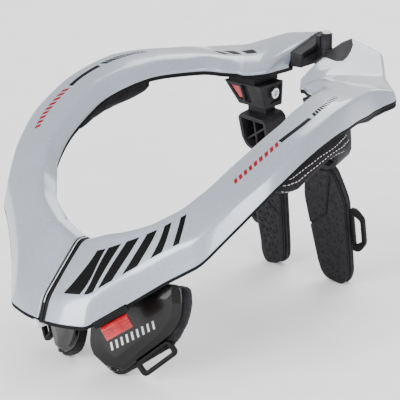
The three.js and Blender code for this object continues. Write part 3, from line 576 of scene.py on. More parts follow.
trayRadii = (0.5, 0.2, 0.15, 0.15, 0.2, 0.25, 0.4, 2, 2.2, 2.2, 0.4, 0.3, 0.2, 0.15, 0.15, 0.25, 0.5, 0.6,
             2.2, 2.2, 0.6)


above = dict(inside=30, outside=40, high=60)  # reach of the cutter that trims arms flush with the tray


def aboveCorners(band):
    low, hem, crest, edge, rim, lipTop, rimTop = trayTop(band)
    inside, outside = -band["bevelIn"] - above["inside"], rim[:, 0] + above["outside"]
    high = np.full_like(lipTop, above["high"])
    return np.concatenate((
        pairs((inside, lipTop), (low[:, 0], lipTop)), np.stack((hem, crest, edge), 1),
        pairs((rim[:, 0], rimTop), (outside, rimTop), (outside, high), (inside, high))), axis=1)


# Where the arms for the chest rests and the strut brackets join the trays.
chest = dict(origin=(31.4, 41.8, 2.1), yaw=20.0, pitch=10.0)
bracket = dict(x=19.0, y=242.0, top=ringRows[20, 2] * ring["height"] - 18)
arm = dict(
    start=(6, 74, -3.5), into=8.0, half=(8.5, 3.5), before=2.0, footLow=(-4, 66.3, -7), footHigh=(16, 80, 0))
boss = dict(inset=5, across=24, along=26, tall=39.7, lift=0.3)
chestFrame = leaning(chest["origin"], chest["yaw"], chest["pitch"])


def chestArm():
    start = framed(chestFrame, arm["start"])
    values = blendRows(np.array([4.0]))[0]
    out = (values[3:6] - values[:3]) * (1, 1, 0)
    end = values[:3] + out / np.linalg.norm(out) * arm["into"] - np.array((0, 0, arm["into"]))
    way = end - start
    along = way / np.linalg.norm(way)
    across = np.cross(along, (0, 0, 1))
    across /= np.linalg.norm(across)
    axes = np.stack((across, along, np.cross(across, along), start), 1)
    wide, deep = arm["half"]
    beam = boxIn(
        "arm", axes, (-wide, -arm["before"], -deep), (wide, np.linalg.norm(way) + arm["into"], deep))
    return carve(beam, boxIn("armFoot", chestFrame, arm["footLow"], arm["footHigh"]), "UNION")


def addCarrier(tray, carrier, side, first, last):
    # The carrier is trimmed under the shell between two rows of the ring, then joined to the tray.
    band = bandAt(np.linspace(float(lengthAt(first)), float(lengthAt(last)), 80))
    carve(carrier, loopPiece("trim", place3(band, aboveCorners(band))))
    if side == -1:
        carrier.data.transform(Matrix.Scale(-1, 4, (1, 0, 0)))
        outwardMesh(carrier.data, 35)
    carve(tray, carrier, "UNION", 30)


for sideName, side in halves:
    tray = bandPiece(f"blackTray_{sideName}", trayCorners, trayRadii, side, 0.0, ringEnd, 3, 1.3, 0.3)
    addCarrier(tray, chestArm(), side, 3.0, 6.5)
    low = np.array((bracket["x"] + boss["inset"], bracket["y"], bracket["top"] + boss["lift"]))
    high = low + (boss["across"], boss["along"], boss["tall"])
    addCarrier(tray, boxIn("boss", np.eye(3, 4), low, high), side, 15.0, rearCut)
    if side == 1:
        carveRooms(tray, 30)
    settle(tray, [finish["tray"]], f"{sideName}_half", "tray_black", f"tray_{sideName}")
print("trays made")

# Front seam: two black plates and a thin light grey bead between them; the bead is a painted highlight,
# light coloured to stand in for the bright line along the seam.
seam = dict(
    inner=0.2, outer=2.8, band=7.5, bead=0.32, beadX=-1.0, beadFrom=48, beadLift=0.12, outerPoints=35)


def seamPlate(name, side):
    band = bandAt(np.array([0.0]))
    outer, inner = insetPath(sharpPath(band), 0.35)[0], insetPath(sharpPath(band), seam["band"])[0]
    lipLow = float(-band["bevelDrop"][0] - band["lip"][0] - ring["gap"] - ring["lipIn"])
    rimLow = float(band["rise"][0] - band["wallDrop"][0] - ring["gap"] - ring["lipOut"])
    flat = np.array([(outer[0, 0], lipLow), outer[1], outer[2], outer[3], (outer[4, 0], rimLow),
                     (inner[4, 0], rimLow), inner[3], inner[2], (inner[0, 0], lipLow)])
    loop = roundedLoops(flat[None], (0.5, 1, 4, 4, 0.5, 0.5, 2, 2, 0.5), 6)
    drawn = (0.5, 0.14, 0.0, 0.0, 0.14, 0.5)
    across = (seam["inner"], seam["inner"] + 0.14, seam["inner"] + 0.5, seam["outer"] - 0.5,
              seam["outer"] - 0.14, seam["outer"])
    loops = shrunk(np.repeat(loop, 6, axis=0), drawn)
    solid = place3({k: np.repeat(v, 6, axis=0) for k, v in band.items()}, loops)
    solid[..., 0] = np.array(across)[:, None]
    return loopPiece(name, solid * (side, 1, 1)), place3(band, loop)[0]


def tube(name, path, radius, sides=10):
    # A round bead along a path: circles square to it, closed by its two end circles.
    path = np.asarray(path, float)
    way = np.gradient(path, axis=0)
    way /= np.linalg.norm(way, axis=1, keepdims=True)
    first = np.cross(way, (0.31, 0.22, 0.92))
    first /= np.linalg.norm(first, axis=1, keepdims=True)
    second = np.cross(way, first)
    a = np.linspace(0, 2 * np.pi, sides, endpoint=False)
    circle = first[:, None] * np.cos(a)[None, :, None] + second[:, None] * np.sin(a)[None, :, None]
    return loopPiece(name, path[:, None] + circle * radius, 60)


for sideName, side in halves:
    plate, topLine = seamPlate(f"seamPlate_{sideName}", side)
    settle(plate, [finish["tray"]], f"{sideName}_half", "tray_black", f"seam_strip_{sideName}")
outerLine = topLine[:seam["outerPoints"]]
outerLine = outerLine[outerLine[:, 1].argsort()][::-1]
# Painted highlight: the light grey bead stands in for the bright line of light along the black seam.
highlightBeadPath = outerLine[outerLine[:, 2] > seam["beadFrom"]] + (0, 0, seam["beadLift"])
highlightBeadPath[:, 0] = seam["beadX"]
settle(tube("seamHighlightBead", highlightBeadPath, seam["bead"]), [finish["pin"]], "right_half", "pin_grey")
print("seam made")


# Flat moulded pieces: a front skin worked out on a grid, stepped sides and a flat back.
def sideAt(outline, heights):
    # Left and right ends of the outline at each height.
    p, q = outline, np.roll(outline, -1, axis=0)
    y = heights[:, None]
    crosses = (p[None, :, 1] <= y) != (q[None, :, 1] <= y)
    rise = np.where(np.abs(q[:, 1] - p[:, 1]) < 1e-9, 1.0, q[:, 1] - p[:, 1])
    x = p[None, :, 0] + (y - p[None, :, 1]) / rise * (q[:, 0] - p[:, 0])
    return np.where(crosses, x, np.inf).min(1), np.where(crosses, x, -np.inf).max(1)


def distanceTo(points, path, closed=True):
    # Distance of each point from a line of straight pieces, and how far along it the nearest spot is.
    p = path if closed else path[:-1]
    q = np.roll(path, -1, axis=0) if closed else path[1:]
    way = q - p
    flat = points.reshape(-1, 2)
    t = np.clip(((flat[:, None] - p) * way).sum(-1) / (way ** 2).sum(-1), 0, 1)
    gap = np.linalg.norm(flat[:, None] - (p + way * t[..., None]), axis=-1)
    nearest = gap.argmin(1)
    along = (nearest + t[np.arange(len(flat)), nearest]) / len(p)
    return gap.min(1).reshape(points.shape[:-1]), along.reshape(points.shape[:-1])


def steppedShares(width, count, margin):
    # Spots across a width, close together within the margin of both ends.
    near = np.array((0.0, 0.06, 0.16, 0.32, 0.6, 1.0)) * np.minimum(margin, width * 0.3)[:, None]
    share = np.linspace(0, 1, count)[1:-1]
    inside = near[:, -1:] + (width[:, None] - 2 * near[:, -1:]) * share
    return np.hstack((near, inside, width[:, None] - near[:, ::-1]))


def panelPiece(name, axes, outline, front, relief, layers, spacing=0.6, margin=1.2, side=1, mask=None,
               roughSide=0.0):
    # layers are the steps of the side, each a depth and how far it is drawn in.
    outline = roundedLoops(np.asarray(outline, float)[None], np.full(len(outline), 5.0), 6)[0]
    low, high = outline[:, 1].min() + 0.02, outline[:, 1].max() - 0.02
    heights = steppedShares(np.array([high - low]), int((high - low) / spacing), margin)[0] + low
    left, right = sideAt(outline, heights)
    widths = right - left
    across = steppedShares(widths, int(widths.max() / spacing), margin) + left[:, None]
    flat = np.stack((across, np.repeat(heights[:, None], across.shape[1], axis=1)), -1)
    gap, _ = distanceTo(flat, outline)
    z = front + relief(flat, gap, left[:, None], right[:, None])
    rows, columns = across.shape
    grid = np.arange(rows * columns).reshape(rows, columns)
    rim = np.concatenate((grid[0, :-1], grid[:-1, -1], grid[-1, :0:-1], grid[:0:-1, 0]))
    rimFlat = flat.reshape(-1, 2)[rim]
    way = np.roll(rimFlat, -3, axis=0) - np.roll(rimFlat, 3, axis=0)
    way /= np.linalg.norm(way, axis=1, keepdims=True)
    outward = np.stack((way[:, 1], -way[:, 0]), 1)
    chance = np.random.default_rng(7)
    rings = []
    for depth, inset in layers:
        jitter = roughSide * chance.standard_normal((len(rim), 1)) if roughSide else 0.0
        rings.append(np.column_stack((rimFlat - outward * (inset + jitter), np.full(len(rim), depth))))
    points = np.concatenate((np.dstack((flat, z)).reshape(-1, 3), *rings))
    a, b, c, d = grid[:-1, :-1], grid[:-1, 1:], grid[1:, 1:], grid[1:, :-1]
    faces = np.stack((a, b, c, d), -1).reshape(-1, 4)
    slots = np.zeros(len(faces), int)
    if mask is not None:
        centre = flat.reshape(-1, 2)[faces].mean(1)
        slots = np.where(mask(centre), 1, 0)
    loops = [rim] + [np.arange(len(rim)) + rows * columns + k * len(rim) for k in range(len(layers))]
    sides = [np.stack((np.roll(p, -1), p, q, np.roll(q, -1)), -1) for p, q in zip(loops, loops[1:])]
    every = np.concatenate([faces] + sides).tolist() + [loops[-1][::-1].tolist()]
    slots = np.concatenate((slots, *[np.full(len(rim), 2 if k == 0 and roughSide else 1 if roughSide else 0)
                                     for k in range(len(sides))], [0]))
    return makeMesh(name, framed(axes, points) * (side, 1, 1), every, 40, slots)


def roundedEdge(gap, radius):
    # Drop of a quarter circle: the full radius at the border, nothing past it.
    inside = np.clip(radius - gap, 0, radius)
    return radius - np.sqrt(np.maximum(radius ** 2 - inside ** 2, 0))


plateOutline = [
    (-17, 66), (-24, 42), (-24.5, 19), (-20.5, 10.5), (-13, 5), (-6, 2), (0, 3.6),
    (28.8, 29.2), (37, 42), (38, 54), (36.5, 66)]
foamOutline = [
    (-18, 64), (-20.5, 40), (-21.2, 18), (-19, 8.5), (-11, 2), (-6, -0.4), (0, 0.8),
    (33, 25), (40, 40), (42, 51), (40.5, 64)]
bevelLine = np.array([
    (36.5, 67), (38, 54), (37, 42), (28.8, 29.2), (12, 14.3), (0, 3.6), (-13, 5), (-20.5, 10.5)])


def bevelShare(flat):
    # How far a spot lies within the grey bevel: 1 at the border, 0 at its inner line.
    # The bevel is narrower along the bottom.
    gap, along = distanceTo(flat, bevelLine, closed=False)
    width = np.interp(along, (0, 0.42, 0.6, 0.8, 1), (6.0, 5.6, 3.2, 2.2, 1.2))
    return np.clip(1 - gap / width, 0, 1)


plateFace = dict(dome=1.1, ramp=10, bevel=2.2, edge=0.9)


def plateRelief(flat, gap, left, right):
    middle, half = (left + right) / 2, np.maximum((right - left) / 2, 1)
    crown = 1 - np.clip((flat[..., 0] - middle) / half, -1, 1) ** 2
    dome = plateFace["dome"] * crown * np.clip(gap / plateFace["ramp"], 0, 1)
    return dome - plateFace["bevel"] * bevelShare(flat) - roundedEdge(gap, plateFace["edge"])


def edgeRelief(radius):
    # A flat face whose border is rounded by the radius.
    return lambda flat, gap, left, right: -roundedEdge(gap, radius)


def rayRadius(outline, centre, angles):
    # Distance from the centre to the outline along each angle.
    p = outline - centre
    q = np.roll(p, -1, axis=0)
    way = np.stack((np.cos(angles), np.sin(angles)), 1)[:, None]
    side = q - p
    cross = way[..., 0] * side[:, 1] - way[..., 1] * side[:, 0]
    cross = np.where(np.abs(cross) < 1e-9, 1e-9, cross)
    reach = (p[:, 0] * side[:, 1] - p[:, 1] * side[:, 0]) / cross
    share = (p[:, 0] * way[..., 1] - p[:, 1] * way[..., 0]) / cross
    return np.where((share >= -1e-6) & (share <= 1 + 1e-6) & (reach > 0), reach, -np.inf).max(1)


def loopRing(name, axes, outer, hole, back, front, side, outerRound=3.0, holeRound=1.4):
    # A closed band between two outlines with a rounded square section carried round it.
    outer = roundedLoops(np.asarray(outer, float)[None], np.full(len(outer), outerRound), 6)[0]
    hole = roundedLoops(np.asarray(hole, float)[None], np.full(len(hole), holeRound), 6)[0]
    centre = (hole.min(0) + hole.max(0)) / 2
    angles = np.linspace(0, 2 * np.pi, 220, endpoint=False)
    way = np.stack((np.cos(angles), np.sin(angles)), 1)
    a = centre + way * rayRadius(hole, centre, angles)[:, None]
    b = centre + way * rayRadius(outer, centre, angles)[:, None]
    turn = np.linspace(0, 2 * np.pi, 24, endpoint=False)
    share, depth = (0.5 + 0.5 * np.sign(v) * np.abs(v) ** 0.45 for v in (np.cos(turn), np.sin(turn)))
    flat = a[:, None] + (b - a)[:, None] * share[None, :, None]
    z = np.broadcast_to(back + (front - back) * depth, flat.shape[:2])
    return loopPiece(name, framed(axes, np.dstack((flat, z))) * (side, 1, 1), 50, closed=True)


def loopEdge(s, n):
    return (s * 0.748 + n * 0.664, 3.6 + s * 0.664 - n * 0.748)


def loopBox(s0, n0, s1, n1):
    return [loopEdge(s0, n0), loopEdge(s0, n1), loopEdge(s1, n1), loopEdge(s1, n0)]


for sideName, side in halves:
    body = f"{sideName}_half"
    plate = panelPiece(
        f"chestPlate_{sideName}", chestFrame, plateOutline, 0.0, plateRelief,
        [(-3.4, 0.0), (-4.1, 0.3), (-4.5, 1.0)], side=side, mask=lambda flat: bevelShare(flat) > 0.04)
    settle(plate, [finish["plate"], finish["bevel"]], body, "plate_gloss_black", f"chest_plate_{sideName}")
    pad = panelPiece(
        f"chestFoam_{sideName}", chestFrame, foamOutline, -4.8, edgeRelief(1.2),
        [(-8.4, 0.0), (-8.8, 0.6), (-11.6, 0.5), (-12.4, 0.7), (-12.8, 1.5)], side=side, roughSide=0.16)
    settle(pad, [finish["foam"], finish["tray"], finish["rough"]], body, "pad_foam", f"chest_pad_{sideName}")
    strap = loopRing(
        f"chestLoop_{sideName}", chestFrame, loopBox(10, 0.4, 40, 11.8), loopBox(13.2, 2.4, 36.8, 8.6),
        -4.5, -0.6, side, 4.0, 1.2)
    settle(strap, [finish["tray"]], body, "strut_grey", f"chest_loop_{sideName}")
plateDashes = dict(start=(-8.0, 20.0), end=(20.0, 38.0), count=9, long=5.2, wide=1.5, lean=0.28)


boxFaces = np.array((
    (0, 1, 2, 3), (7, 6, 5, 4), (0, 4, 5, 1), (1, 5, 6, 2), (2, 6, 7, 3), (3, 7, 4, 0)))


def dashesOn(axes, setting):
    # Slanted dashes of white ink that stand 0.12 mm above the domed plate.
    outline = roundedLoops(np.array([plateOutline], float), np.full(len(plateOutline), 5.0), 6)[0]
    points, faces = [], []
    first, last = np.array(setting["start"]), np.array(setting["end"])
    way = (last - first) / np.linalg.norm(last - first)
    up = np.array((-way[1], way[0])) + way * setting["lean"]
    for k in range(setting["count"]):
        low = first + (last - first) * k / (setting["count"] - 1)
        sides = ((-0.5, -0.5), (0.5, -0.5), (0.5, 0.5), (-0.5, 0.5))
        flat = np.array([low + way * setting["wide"] * s + up * setting["long"] * t for s, t in sides])
        left, right = sideAt(outline, flat[:, 1])
        gap, _ = distanceTo(flat, outline)
        top = plateRelief(flat, gap, left, right) + 0.12
        faces += (boxFaces + 8 * k).tolist()
        points += [np.column_stack((flat, top)), np.column_stack((flat, top - 1.0))]
    return makeMesh("printedPlateDashes", framed(axes, np.concatenate(points)), faces)


settle(dashesOn(chestFrame, plateDashes), [finish["whiteInk"]], "left_half", "plate_gloss_black")
print("chest rests made")

# Rear struts: legs with a dimpled foam face, in a frame that leans back.
leg = dict(origin=(28.8, 271.5, -4.3), yaw=8.0, pitch=-11.0)
legFrame = leaning(leg["origin"], leg["yaw"], leg["pitch"])
legOutline = [
    (-20, 74), (-17, 48), (-13.5, 20), (-11.5, 11), (-7, 5.5), (5, 2.6), (9.5, 4.5),
    (12.5, 12), (13.5, 45), (14, 72), (9, 88), (5, 98), (-14, 98), (-19, 86)]
padOutline = [
    (-19, 73), (-16, 48), (-12.5, 20.5), (-10.5, 12), (-6.5, 6.8), (5, 4), (8.5, 5.6),
    (11, 12.5), (12, 45), (12.4, 71.5), (7.5, 87), (3.5, 96), (-13, 96), (-17.8, 85)]
legLoopOuter = [(14.5, 31), (20, 31), (25.4, 38), (25.4, 59), (19, 66), (14.5, 66)]
legLoopHole = [(16.6, 36), (22.4, 40), (22.4, 57), (16.6, 61.5)]
grooveLine = np.array([(3.0, 99.0), (3.0, 88.0), (-1.9, 61.2), (-23.0, 45.0)])
dimples = dict(spacing=7.2, depth=0.75, border=2.6, fade=0.8, grooveClear=1.9, cornerClear=4.4, edgeFade=0.6)
groove = dict(depth=1.6, half=1.35, slope=0.9)
corner = dict(wide=3.6, depth=1.3, low=10, rise=12, edge=0.7)


def dimpleField(flat):
    # Three sine waves a third of a turn apart: their sum peaks in rounded triangles on a hexagonal net.
    k = 4 * math.pi / (math.sqrt(3) * dimples["spacing"])
    total = sum(
        np.sin(k * (flat[..., 0] * math.cos(a) + flat[..., 1] * math.sin(a)))
        for a in np.radians((90, 210, 330)))
    return np.clip((np.abs(total) - 1.15) / 0.9, 0, 1)


def padRelief(flat, gap, left, right):
    # Dimples away from the border, the groove and the chamfered outer corner.
    toGroove, _ = distanceTo(flat, grooveLine, closed=False)
    toRight = right - flat[..., 0]
    chamfer = np.clip(1 - toRight / corner["wide"], 0, 1)
    chamfer = chamfer * np.clip((flat[..., 1] - corner["low"]) / corner["rise"], 0, 1)
    inside = np.clip((gap - dimples["border"]) / dimples["fade"], 0, 1)
    inside = inside * np.clip((toGroove - dimples["grooveClear"]) / dimples["edgeFade"], 0, 1)
    inside = inside * np.clip((toRight - dimples["cornerClear"]) / dimples["edgeFade"], 0, 1)
    cutDepth = groove["depth"] * np.clip(groove["half"] - toGroove, 0, groove["slope"]) / groove["slope"]
    dimple = dimples["depth"] * dimpleField(flat) * inside
    return -dimple - cutDepth - corner["depth"] * chamfer - roundedEdge(gap, corner["edge"])


copied = dict(merge=2e-6, flatAngle=0.6, edgeAngle=28)


def copyNode(name, label, width, segments=2, sharp=35):
    # A merged copy of the CAD solid with its edges broken by a small round.
    mesh = nodes[name].data.copy()
    body = bmesh.new()
    body.from_mesh(mesh)
    bmesh.ops.remove_doubles(body, verts=body.verts, dist=copied["merge"])
    bmesh.ops.dissolve_limit(
        body, angle_limit=math.radians(copied["flatAngle"]), verts=body.verts, edges=body.edges)
    body.to_mesh(mesh)
    body.free()
    mesh.materials.clear()
    if "custom_normal" in mesh.attributes:
        mesh.attributes.remove(mesh.attributes["custom_normal"])
    mesh.shade_smooth()
    mesh.set_sharp_from_angle(angle=math.radians(sharp))
    piece = bpy.data.objects.new(label, mesh)
    scene.collection.objects.link(piece)
    edge = piece.modifiers.new("edge", "BEVEL")
    edge.width, edge.segments = width * 0.001, segments
    edge.limit_method, edge.angle_limit = "ANGLE", math.radians(copied["edgeAngle"])
    edge.harden_normals = False
    return piece


for sideName, side in halves:
    body = f"strut_{sideName}"
    pad = panelPiece(
        f"legPad_{sideName}", legFrame, padOutline, 0.0, padRelief,
        [(-1.9, 0.0), (-2.1, 0.7), (-2.9, 0.7), (-3.1, 0.0), (-4.4, 0.0), (-4.7, 0.5)], 0.5, side=side)
    settle(pad, [finish["foam"]], body, "pad_foam", f"strut_pad_{sideName}")
    plate = panelPiece(
        f"legPlate_{sideName}", legFrame, legOutline, -5.0, edgeRelief(0.8),
        [(-6.2, 0.0), (-6.5, 0.6), (-7.0, 0.6), (-7.3, 0.0), (-8.9, 0.1), (-9.5, 0.8)], 0.9, side=side)
    settle(plate, [finish["strut"]], body, "strut_grey", f"strut_leg_{sideName}")
    strap = loopRing(
        f"legLoop_{sideName}", legFrame, legLoopOuter, legLoopHole, -9.0, -5.0, side, 2.5, 1.0)
    settle(strap, [finish["tray"]], body, "strut_grey", f"strut_loop_{sideName}")
    for name, label, material, carrier, slotName, width, segments in (
            ("strut_head", "strutHead", "strut", f"strut_{sideName}", "strut_grey", 0.45, 2),
            ("strut_bracket", "strutBracket", "strut", f"{sideName}_half", "strut_grey", 0.4, 2),
            ("angle_wedge", "angleWedge", "red", f"{sideName}_half", "lever_red", 0.35, 2),
            ("strut_screw", "strutScrew", "steel", f"{sideName}_half", "screw_steel", 0.3, 3)):
        name = f"{name}_{sideName}"
        made = copyNode(name, f"{label}_{sideName}", width, segments)
        settle(made, [finish[material]], carrier, slotName, name)
print("struts made")

# Small hard pieces of the latch and the hinge.
for name, label, material, body, slotName, width in (
        ("latch_bar", "latchBar", "tray", "left_half", "tray_black", 0.5),
        ("release_tab", "releaseTab", "red", "release_lever", "lever_red", 0.3),
        ("latch_pin", "latchPin", "pin", "right_half", "pin_grey", 0.6),
        ("hinge_cap_left", "hingeCap_left", "strut", "left_half", "tray_black", 0.4),
        ("hinge_cap_right", "hingeCap_right", "strut", "right_half", "tray_black", 0.4),
        ("hinge_pin", "hingePin", "pin", "left_half", "screw_steel", 0.3)):
    settle(copyNode(name, label, width), [finish[material]], body, slotName, name)
print("latch and hinge made")

# Shoulder pads: foam under a knitted cover, swollen a little by simulation.
shoulder = dict(
    start=10.3, end=14.2, clear=0.9, dropIn=7.5, dropOut=17.0, wing=5.0, voxel=3.5, pressure=4.0, cap=1.6)


def shoulderCorners(band):
    under = ring["wall"] + ring["trayClear"] + ring["trayWall"] + shoulder["clear"]
    deep = insetPath(sharpPath(band), under)
    lipLow = -band["bevelDrop"] - band["lip"] - 2 * ring["gap"] - ring["lipIn"]
    rimLow = band["rise"] - band["wallDrop"] - 2 * ring["gap"] - ring["lipOut"]
    rimOut = band["width"] + band["wallOut"]
    near = np.clip((band["at"] - lengthAt(shoulder["start"])) / 16, 0, 1)
    far = np.clip((lengthAt(shoulder["end"]) - band["at"]) / 5, 0, 1)
    full = np.sqrt(np.minimum(near, far))
    inner, outer = 2 + (shoulder["dropIn"] - 2) * full, 2 + (shoulder["dropOut"] - 2) * full
    start = 1.5 - band["bevelIn"]
    return pairs(
        (start, lipLow - inner * 0.7), (start, lipLow), (deep[:, 0, 0], lipLow), deep[:, 2].T, deep[:, 3].T,
        (deep[:, 4, 0], rimLow), (rimOut - 3, rimLow),
        (rimOut - 4 + (shoulder["wing"] + 4) * full, rimLow - outer * 0.55), (rimOut - 9, rimLow - outer),
        (start + 3, lipLow - inner))


shoulderRadii = (2, 1, 1, 2, 2, 1, 1, 4, 4, 4)


def swell(piece):
    # Cloth blown up from inside, its points moved no further than the cap.
    mesh = piece.data
    even = piece.modifiers.new("even", "REMESH")
    even.mode, even.voxel_size = "VOXEL", shoulder["voxel"] * 0.001
    graph = bpy.context.evaluated_depsgraph_get()
    piece.data = bpy.data.meshes.new_from_object(piece.evaluated_get(graph))
    piece.modifiers.clear()
    bpy.data.meshes.remove(mesh)
    count = len(piece.data.vertices)
    rest = np.empty(count * 3)
    piece.data.vertices.foreach_get("co", rest)
    rest = rest.reshape(-1, 3)
    cloth = piece.modifiers.new("cloth", "CLOTH")
    cloth.settings.use_pressure = True
    cloth.settings.uniform_pressure_force = shoulder["pressure"]
    cloth.settings.effector_weights.gravity = 0
    cloth.collision_settings.use_collision = False
    for frameNumber in range(1, 21):
        scene.frame_set(frameNumber)
    graph = bpy.context.evaluated_depsgraph_get()
    blown = np.empty(count * 3)
    piece.evaluated_get(graph).data.vertices.foreach_get("co", blown)
    move = blown.reshape(-1, 3) - rest
    size = np.linalg.norm(move, axis=1, keepdims=True)
    held = np.minimum(size, shoulder["cap"] * 0.001) / np.maximum(size, 1e-9)
    piece.modifiers.clear()
    piece.data.vertices.foreach_set("co", (rest + move * held).ravel())
    scene.frame_set(1)


def stitches(name, spots, ways, size=(1.1, 0.28)):
    # Short threads: each is a stretched ball of 6 by 6 points laid along its way.
    a, b = np.meshgrid(np.linspace(0, 2 * np.pi, 6, endpoint=False), np.linspace(0.15, np.pi - 0.15, 6))
    long, thick = size
    ball = np.stack((np.cos(b) * long, np.sin(b) * np.cos(a) * thick, np.sin(b) * np.sin(a) * thick), -1)
    side = np.cross(ways, (0.2, 0.1, 0.97))
    side /= np.linalg.norm(side, axis=1, keepdims=True)
    turn = np.stack((ways, side, np.cross(ways, side)), 1)
    points = np.einsum("rck,nkj->nrcj", ball, turn) + spots[:, None, None]
    single = loopFaces(6, 6) + [list(range(6))[::-1], list(range(30, 36))]
    faces = [[v + 36 * n for v in face] for n in range(len(spots)) for face in single]
    return makeMesh(name, points.reshape(-1, 3), faces, 60)


for sideName, side in halves:
    body = f"{sideName}_half"
    low, high = float(lengthAt(shoulder["start"])), float(lengthAt(shoulder["end"]))
    pad = bandPiece(
        f"shoulderPad_{sideName}", shoulderCorners, shoulderRadii, side, low, high, 4, 1.2, 1.5)
    swell(pad)
    smooth = pad.modifiers.new("smooth", "SUBSURF")
    smooth.levels = smooth.render_levels = 1
    outwardMesh(pad.data, 60)
    settle(pad, [finish["mesh"]], body, "pad_foam", f"shoulder_pad_{sideName}")
    graph = bpy.context.evaluated_depsgraph_get()
    skin = BVHTree.FromObject(pad, graph)
    band = bandAt(np.arange(low + 5, high - 4, 3.0))
    corners = place3(band, shoulderCorners(band)) * (side, 1, 1)
    for row, (share, number) in enumerate(((0.25, 7), (0.62, 7), (0.4, 8))):
        near, far = corners[:, number - 1], corners[:, number]
        aim = toMetres(near + (far - near) * share)
        out = np.column_stack((band["out"][:, :2] * (side, 1), np.full(len(aim), -0.6)))
        hits = [skin.ray_cast(Vector(p + n * 0.02), Vector(-n), 0.05) for p, n in zip(aim, out)]
        found = np.array([(hit[0] if hit[0] is not None else Vector(p)) for hit, p in zip(hits, aim)])
        spots = found * 1000 - drawing["shift"]
        ways = np.gradient(spots, axis=0)
        ways /= np.linalg.norm(ways, axis=1, keepdims=True)
        threads = stitches(f"padStitches{row}_{sideName}", spots, ways)
        settle(threads, [finish["thread"]], body, "pad_foam")
print("shoulder pads made")


# Printed marks on the painted shells: thin pads of ink that follow the crowned top face.
def inkPatch(corners, side, across=10):
    # A four-sided patch in place along the ring and share across the band, as a thin closed slab.
    a, b, c, d = (np.array(p, float) for p in corners)
    s = np.linspace(0, 1, across * 2)[:, None, None]
    t = np.linspace(0, 1, across)[None, :, None]
    grid = (a * (1 - s) + b * s) * (1 - t) + (d * (1 - s) + c * s) * t
    lengths, share = lengthAt(grid[..., 0]), grid[..., 1]
    band = bandAt(lengths.ravel())
    flat = share.ravel()
    rise = np.interp(flat, (0, 0.12, 0.28, 0.5, 0.72, 0.88, 1), (0, 0.42, 0.85, 1.08, 0.85, 0.42, 0))
    u, v = band["width"] * flat, band["rise"] * flat + ring["crown"] * rise
    skins = []
    for lift in (0.1, -0.5):
        up = np.stack((u, v + lift), -1)[:, None]
        skins.append(place3(band, up)[:, 0] * (side, 1, 1))
    rows, columns = share.shape
    number = np.arange(rows * columns).reshape(rows, columns)
    rim = np.concatenate((number[0, :-1], number[:-1, -1], number[-1, :0:-1], number[:0:-1, 0]))
    top = np.stack((number[:-1, :-1], number[:-1, 1:], number[1:, 1:], number[1:, :-1]), -1).reshape(-1, 4)
    under = top[:, ::-1] + rows * columns
    edge = np.stack((np.roll(rim, -1), rim, rim + rows * columns, np.roll(rim, -1) + rows * columns), -1)
    return np.concatenate(skins), np.concatenate((top, under, edge))


def inkPiece(name, patches, side, material, body):
    points, faces, count = [], [], 0
    for corners in patches:
        p, f = inkPatch(corners, side)
        points.append(p)
        faces.append(f + count)
        count += len(p)
    piece = makeMesh(name, np.concatenate(points), np.concatenate(faces).tolist(), 50)
    return settle(piece, [material], body, "shell_white")


marks = dict(
    bar=dict(left=((10.92, 12.5), (0.50, 0.61), 0.058), right=((11.0, 12.5), (0.58, 0.64), 0.06)),
    ticks=dict(
        left=dict(start=12.64, end=14.85, count=12, middle=(0.61, 0.62), half=0.062, lean=0.12),
        right=dict(start=12.62, end=14.8, count=12, middle=(0.64, 0.64), half=0.07, lean=0.12)),
    dashes=dict(
        left=dict(start=9.34, end=10.85, count=9, middle=(0.47, 0.51), half=0.062, lean=0.1),
        right=dict(start=9.34, end=10.85, count=9, middle=(0.56, 0.6), half=0.07, lean=0.1)))


def slantedRow(setting, fade):
    # Equal slanted strokes along the band, each thinner than the last where they fade.
    step = (setting["end"] - setting["start"]) / setting["count"]
    rows = []
    for k in range(setting["count"]):
        share = k / setting["count"]
        at = setting["start"] + step * k
        middle = setting["middle"][0] + (setting["middle"][1] - setting["middle"][0]) * share
        wide = step * (0.72 - 0.5 * share if fade else 0.62)
        low, high, lean = middle - setting["half"], middle + setting["half"], setting["lean"]
        rows.append(((at + lean, low), (at + wide + lean, low), (at + wide, high), (at, high)))
    return rows


# Plain slanted bars on the wide front of the left half, each thinner than the last.
frontBars = dict(start=1.7, step=0.98, count=6, wide=0.8, thinner=0.09, lean=1.0, crest=0.24, edge=0.9)
rearStripes = dict(start=17.5, end=19.5, count=3, middle=(0.28, 0.36), half=0.1, lean=0.3)


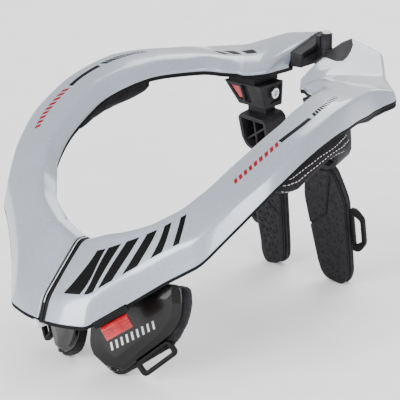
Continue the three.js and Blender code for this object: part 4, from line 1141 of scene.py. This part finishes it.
def barPatches(setting):
    rows = []
    for k in range(setting["count"]):
        low = setting["start"] + setting["step"] * k
        high = low + setting["wide"] - setting["thinner"] * k
        crest, edge, lean = setting["crest"], setting["edge"], setting["lean"]
        rows.append(((low, crest), (high, crest), (high - lean, edge), (low - lean, edge)))
    return rows


for sideName, side in halves:
    (start, end), (m0, m1), half = marks["bar"][sideName]
    patches = [((start, m0 - half), (end, m1 - half), (end, m1 + half), (start, m0 + half))]
    patches += slantedRow(marks["ticks"][sideName], True)
    patches += barPatches(frontBars) if side == 1 else slantedRow(rearStripes, False)
    body = f"{sideName}_half"
    inkPiece(f"printedMarks_{sideName}", patches, side, finish["black"], body)
    dashes = slantedRow(marks["dashes"][sideName], False)
    inkPiece(f"printedDashes_{sideName}", dashes, side, finish["redInk"], body)
print("marks printed")


# Studio: pale floor, white surroundings and soft lamps, the key and fill low on both sides of the camera.
def makeStudio():
    world = bpy.data.worlds.new("studio")
    scene.world = world
    world.use_nodes = True
    tree = world.node_tree
    tree.nodes["Background"].inputs["Color"].default_value = (1, 1, 1, 1)
    tree.nodes["Background"].inputs["Strength"].default_value = 1.1
    floorMesh = bpy.data.meshes.new("floor")
    floorMesh.from_pydata([(-6, -6, 0), (6, -6, 0), (6, 6, 0), (-6, 6, 0)], [], [(0, 1, 2, 3)])
    floor = bpy.data.objects.new("floor", floorMesh)
    scene.collection.objects.link(floor)
    made, tree, body, place = newMaterial("matPaintedBoard", {"Roughness": 0.9})
    twoTone(tree, body, noiseOf(tree, place, 40), "#F6F6F6", "#FAFAFA")
    floorMesh.materials.append(made)
    aim = (0, 0, 0.1)
    for name, energy, size, spot in (
            ("keyLamp", 75, 1.3, (-0.3, -2.0, 0.75)),
            ("fillLamp", 45, 1.2, (2.0, -0.5, 0.6)),
            ("rearLamp", 40, 1.6, (-0.6, 1.7, 1.6))):
        data = bpy.data.lights.new(name, "AREA")
        data.energy, data.size = energy, size
        lamp = bpy.data.objects.new(name, data)
        lamp.location = spot
        lamp.rotation_euler = (Vector(aim) - Vector(spot)).to_track_quat("-Z", "Y").to_euler()
        scene.collection.objects.link(lamp)


makeStudio()
print("studio lit")
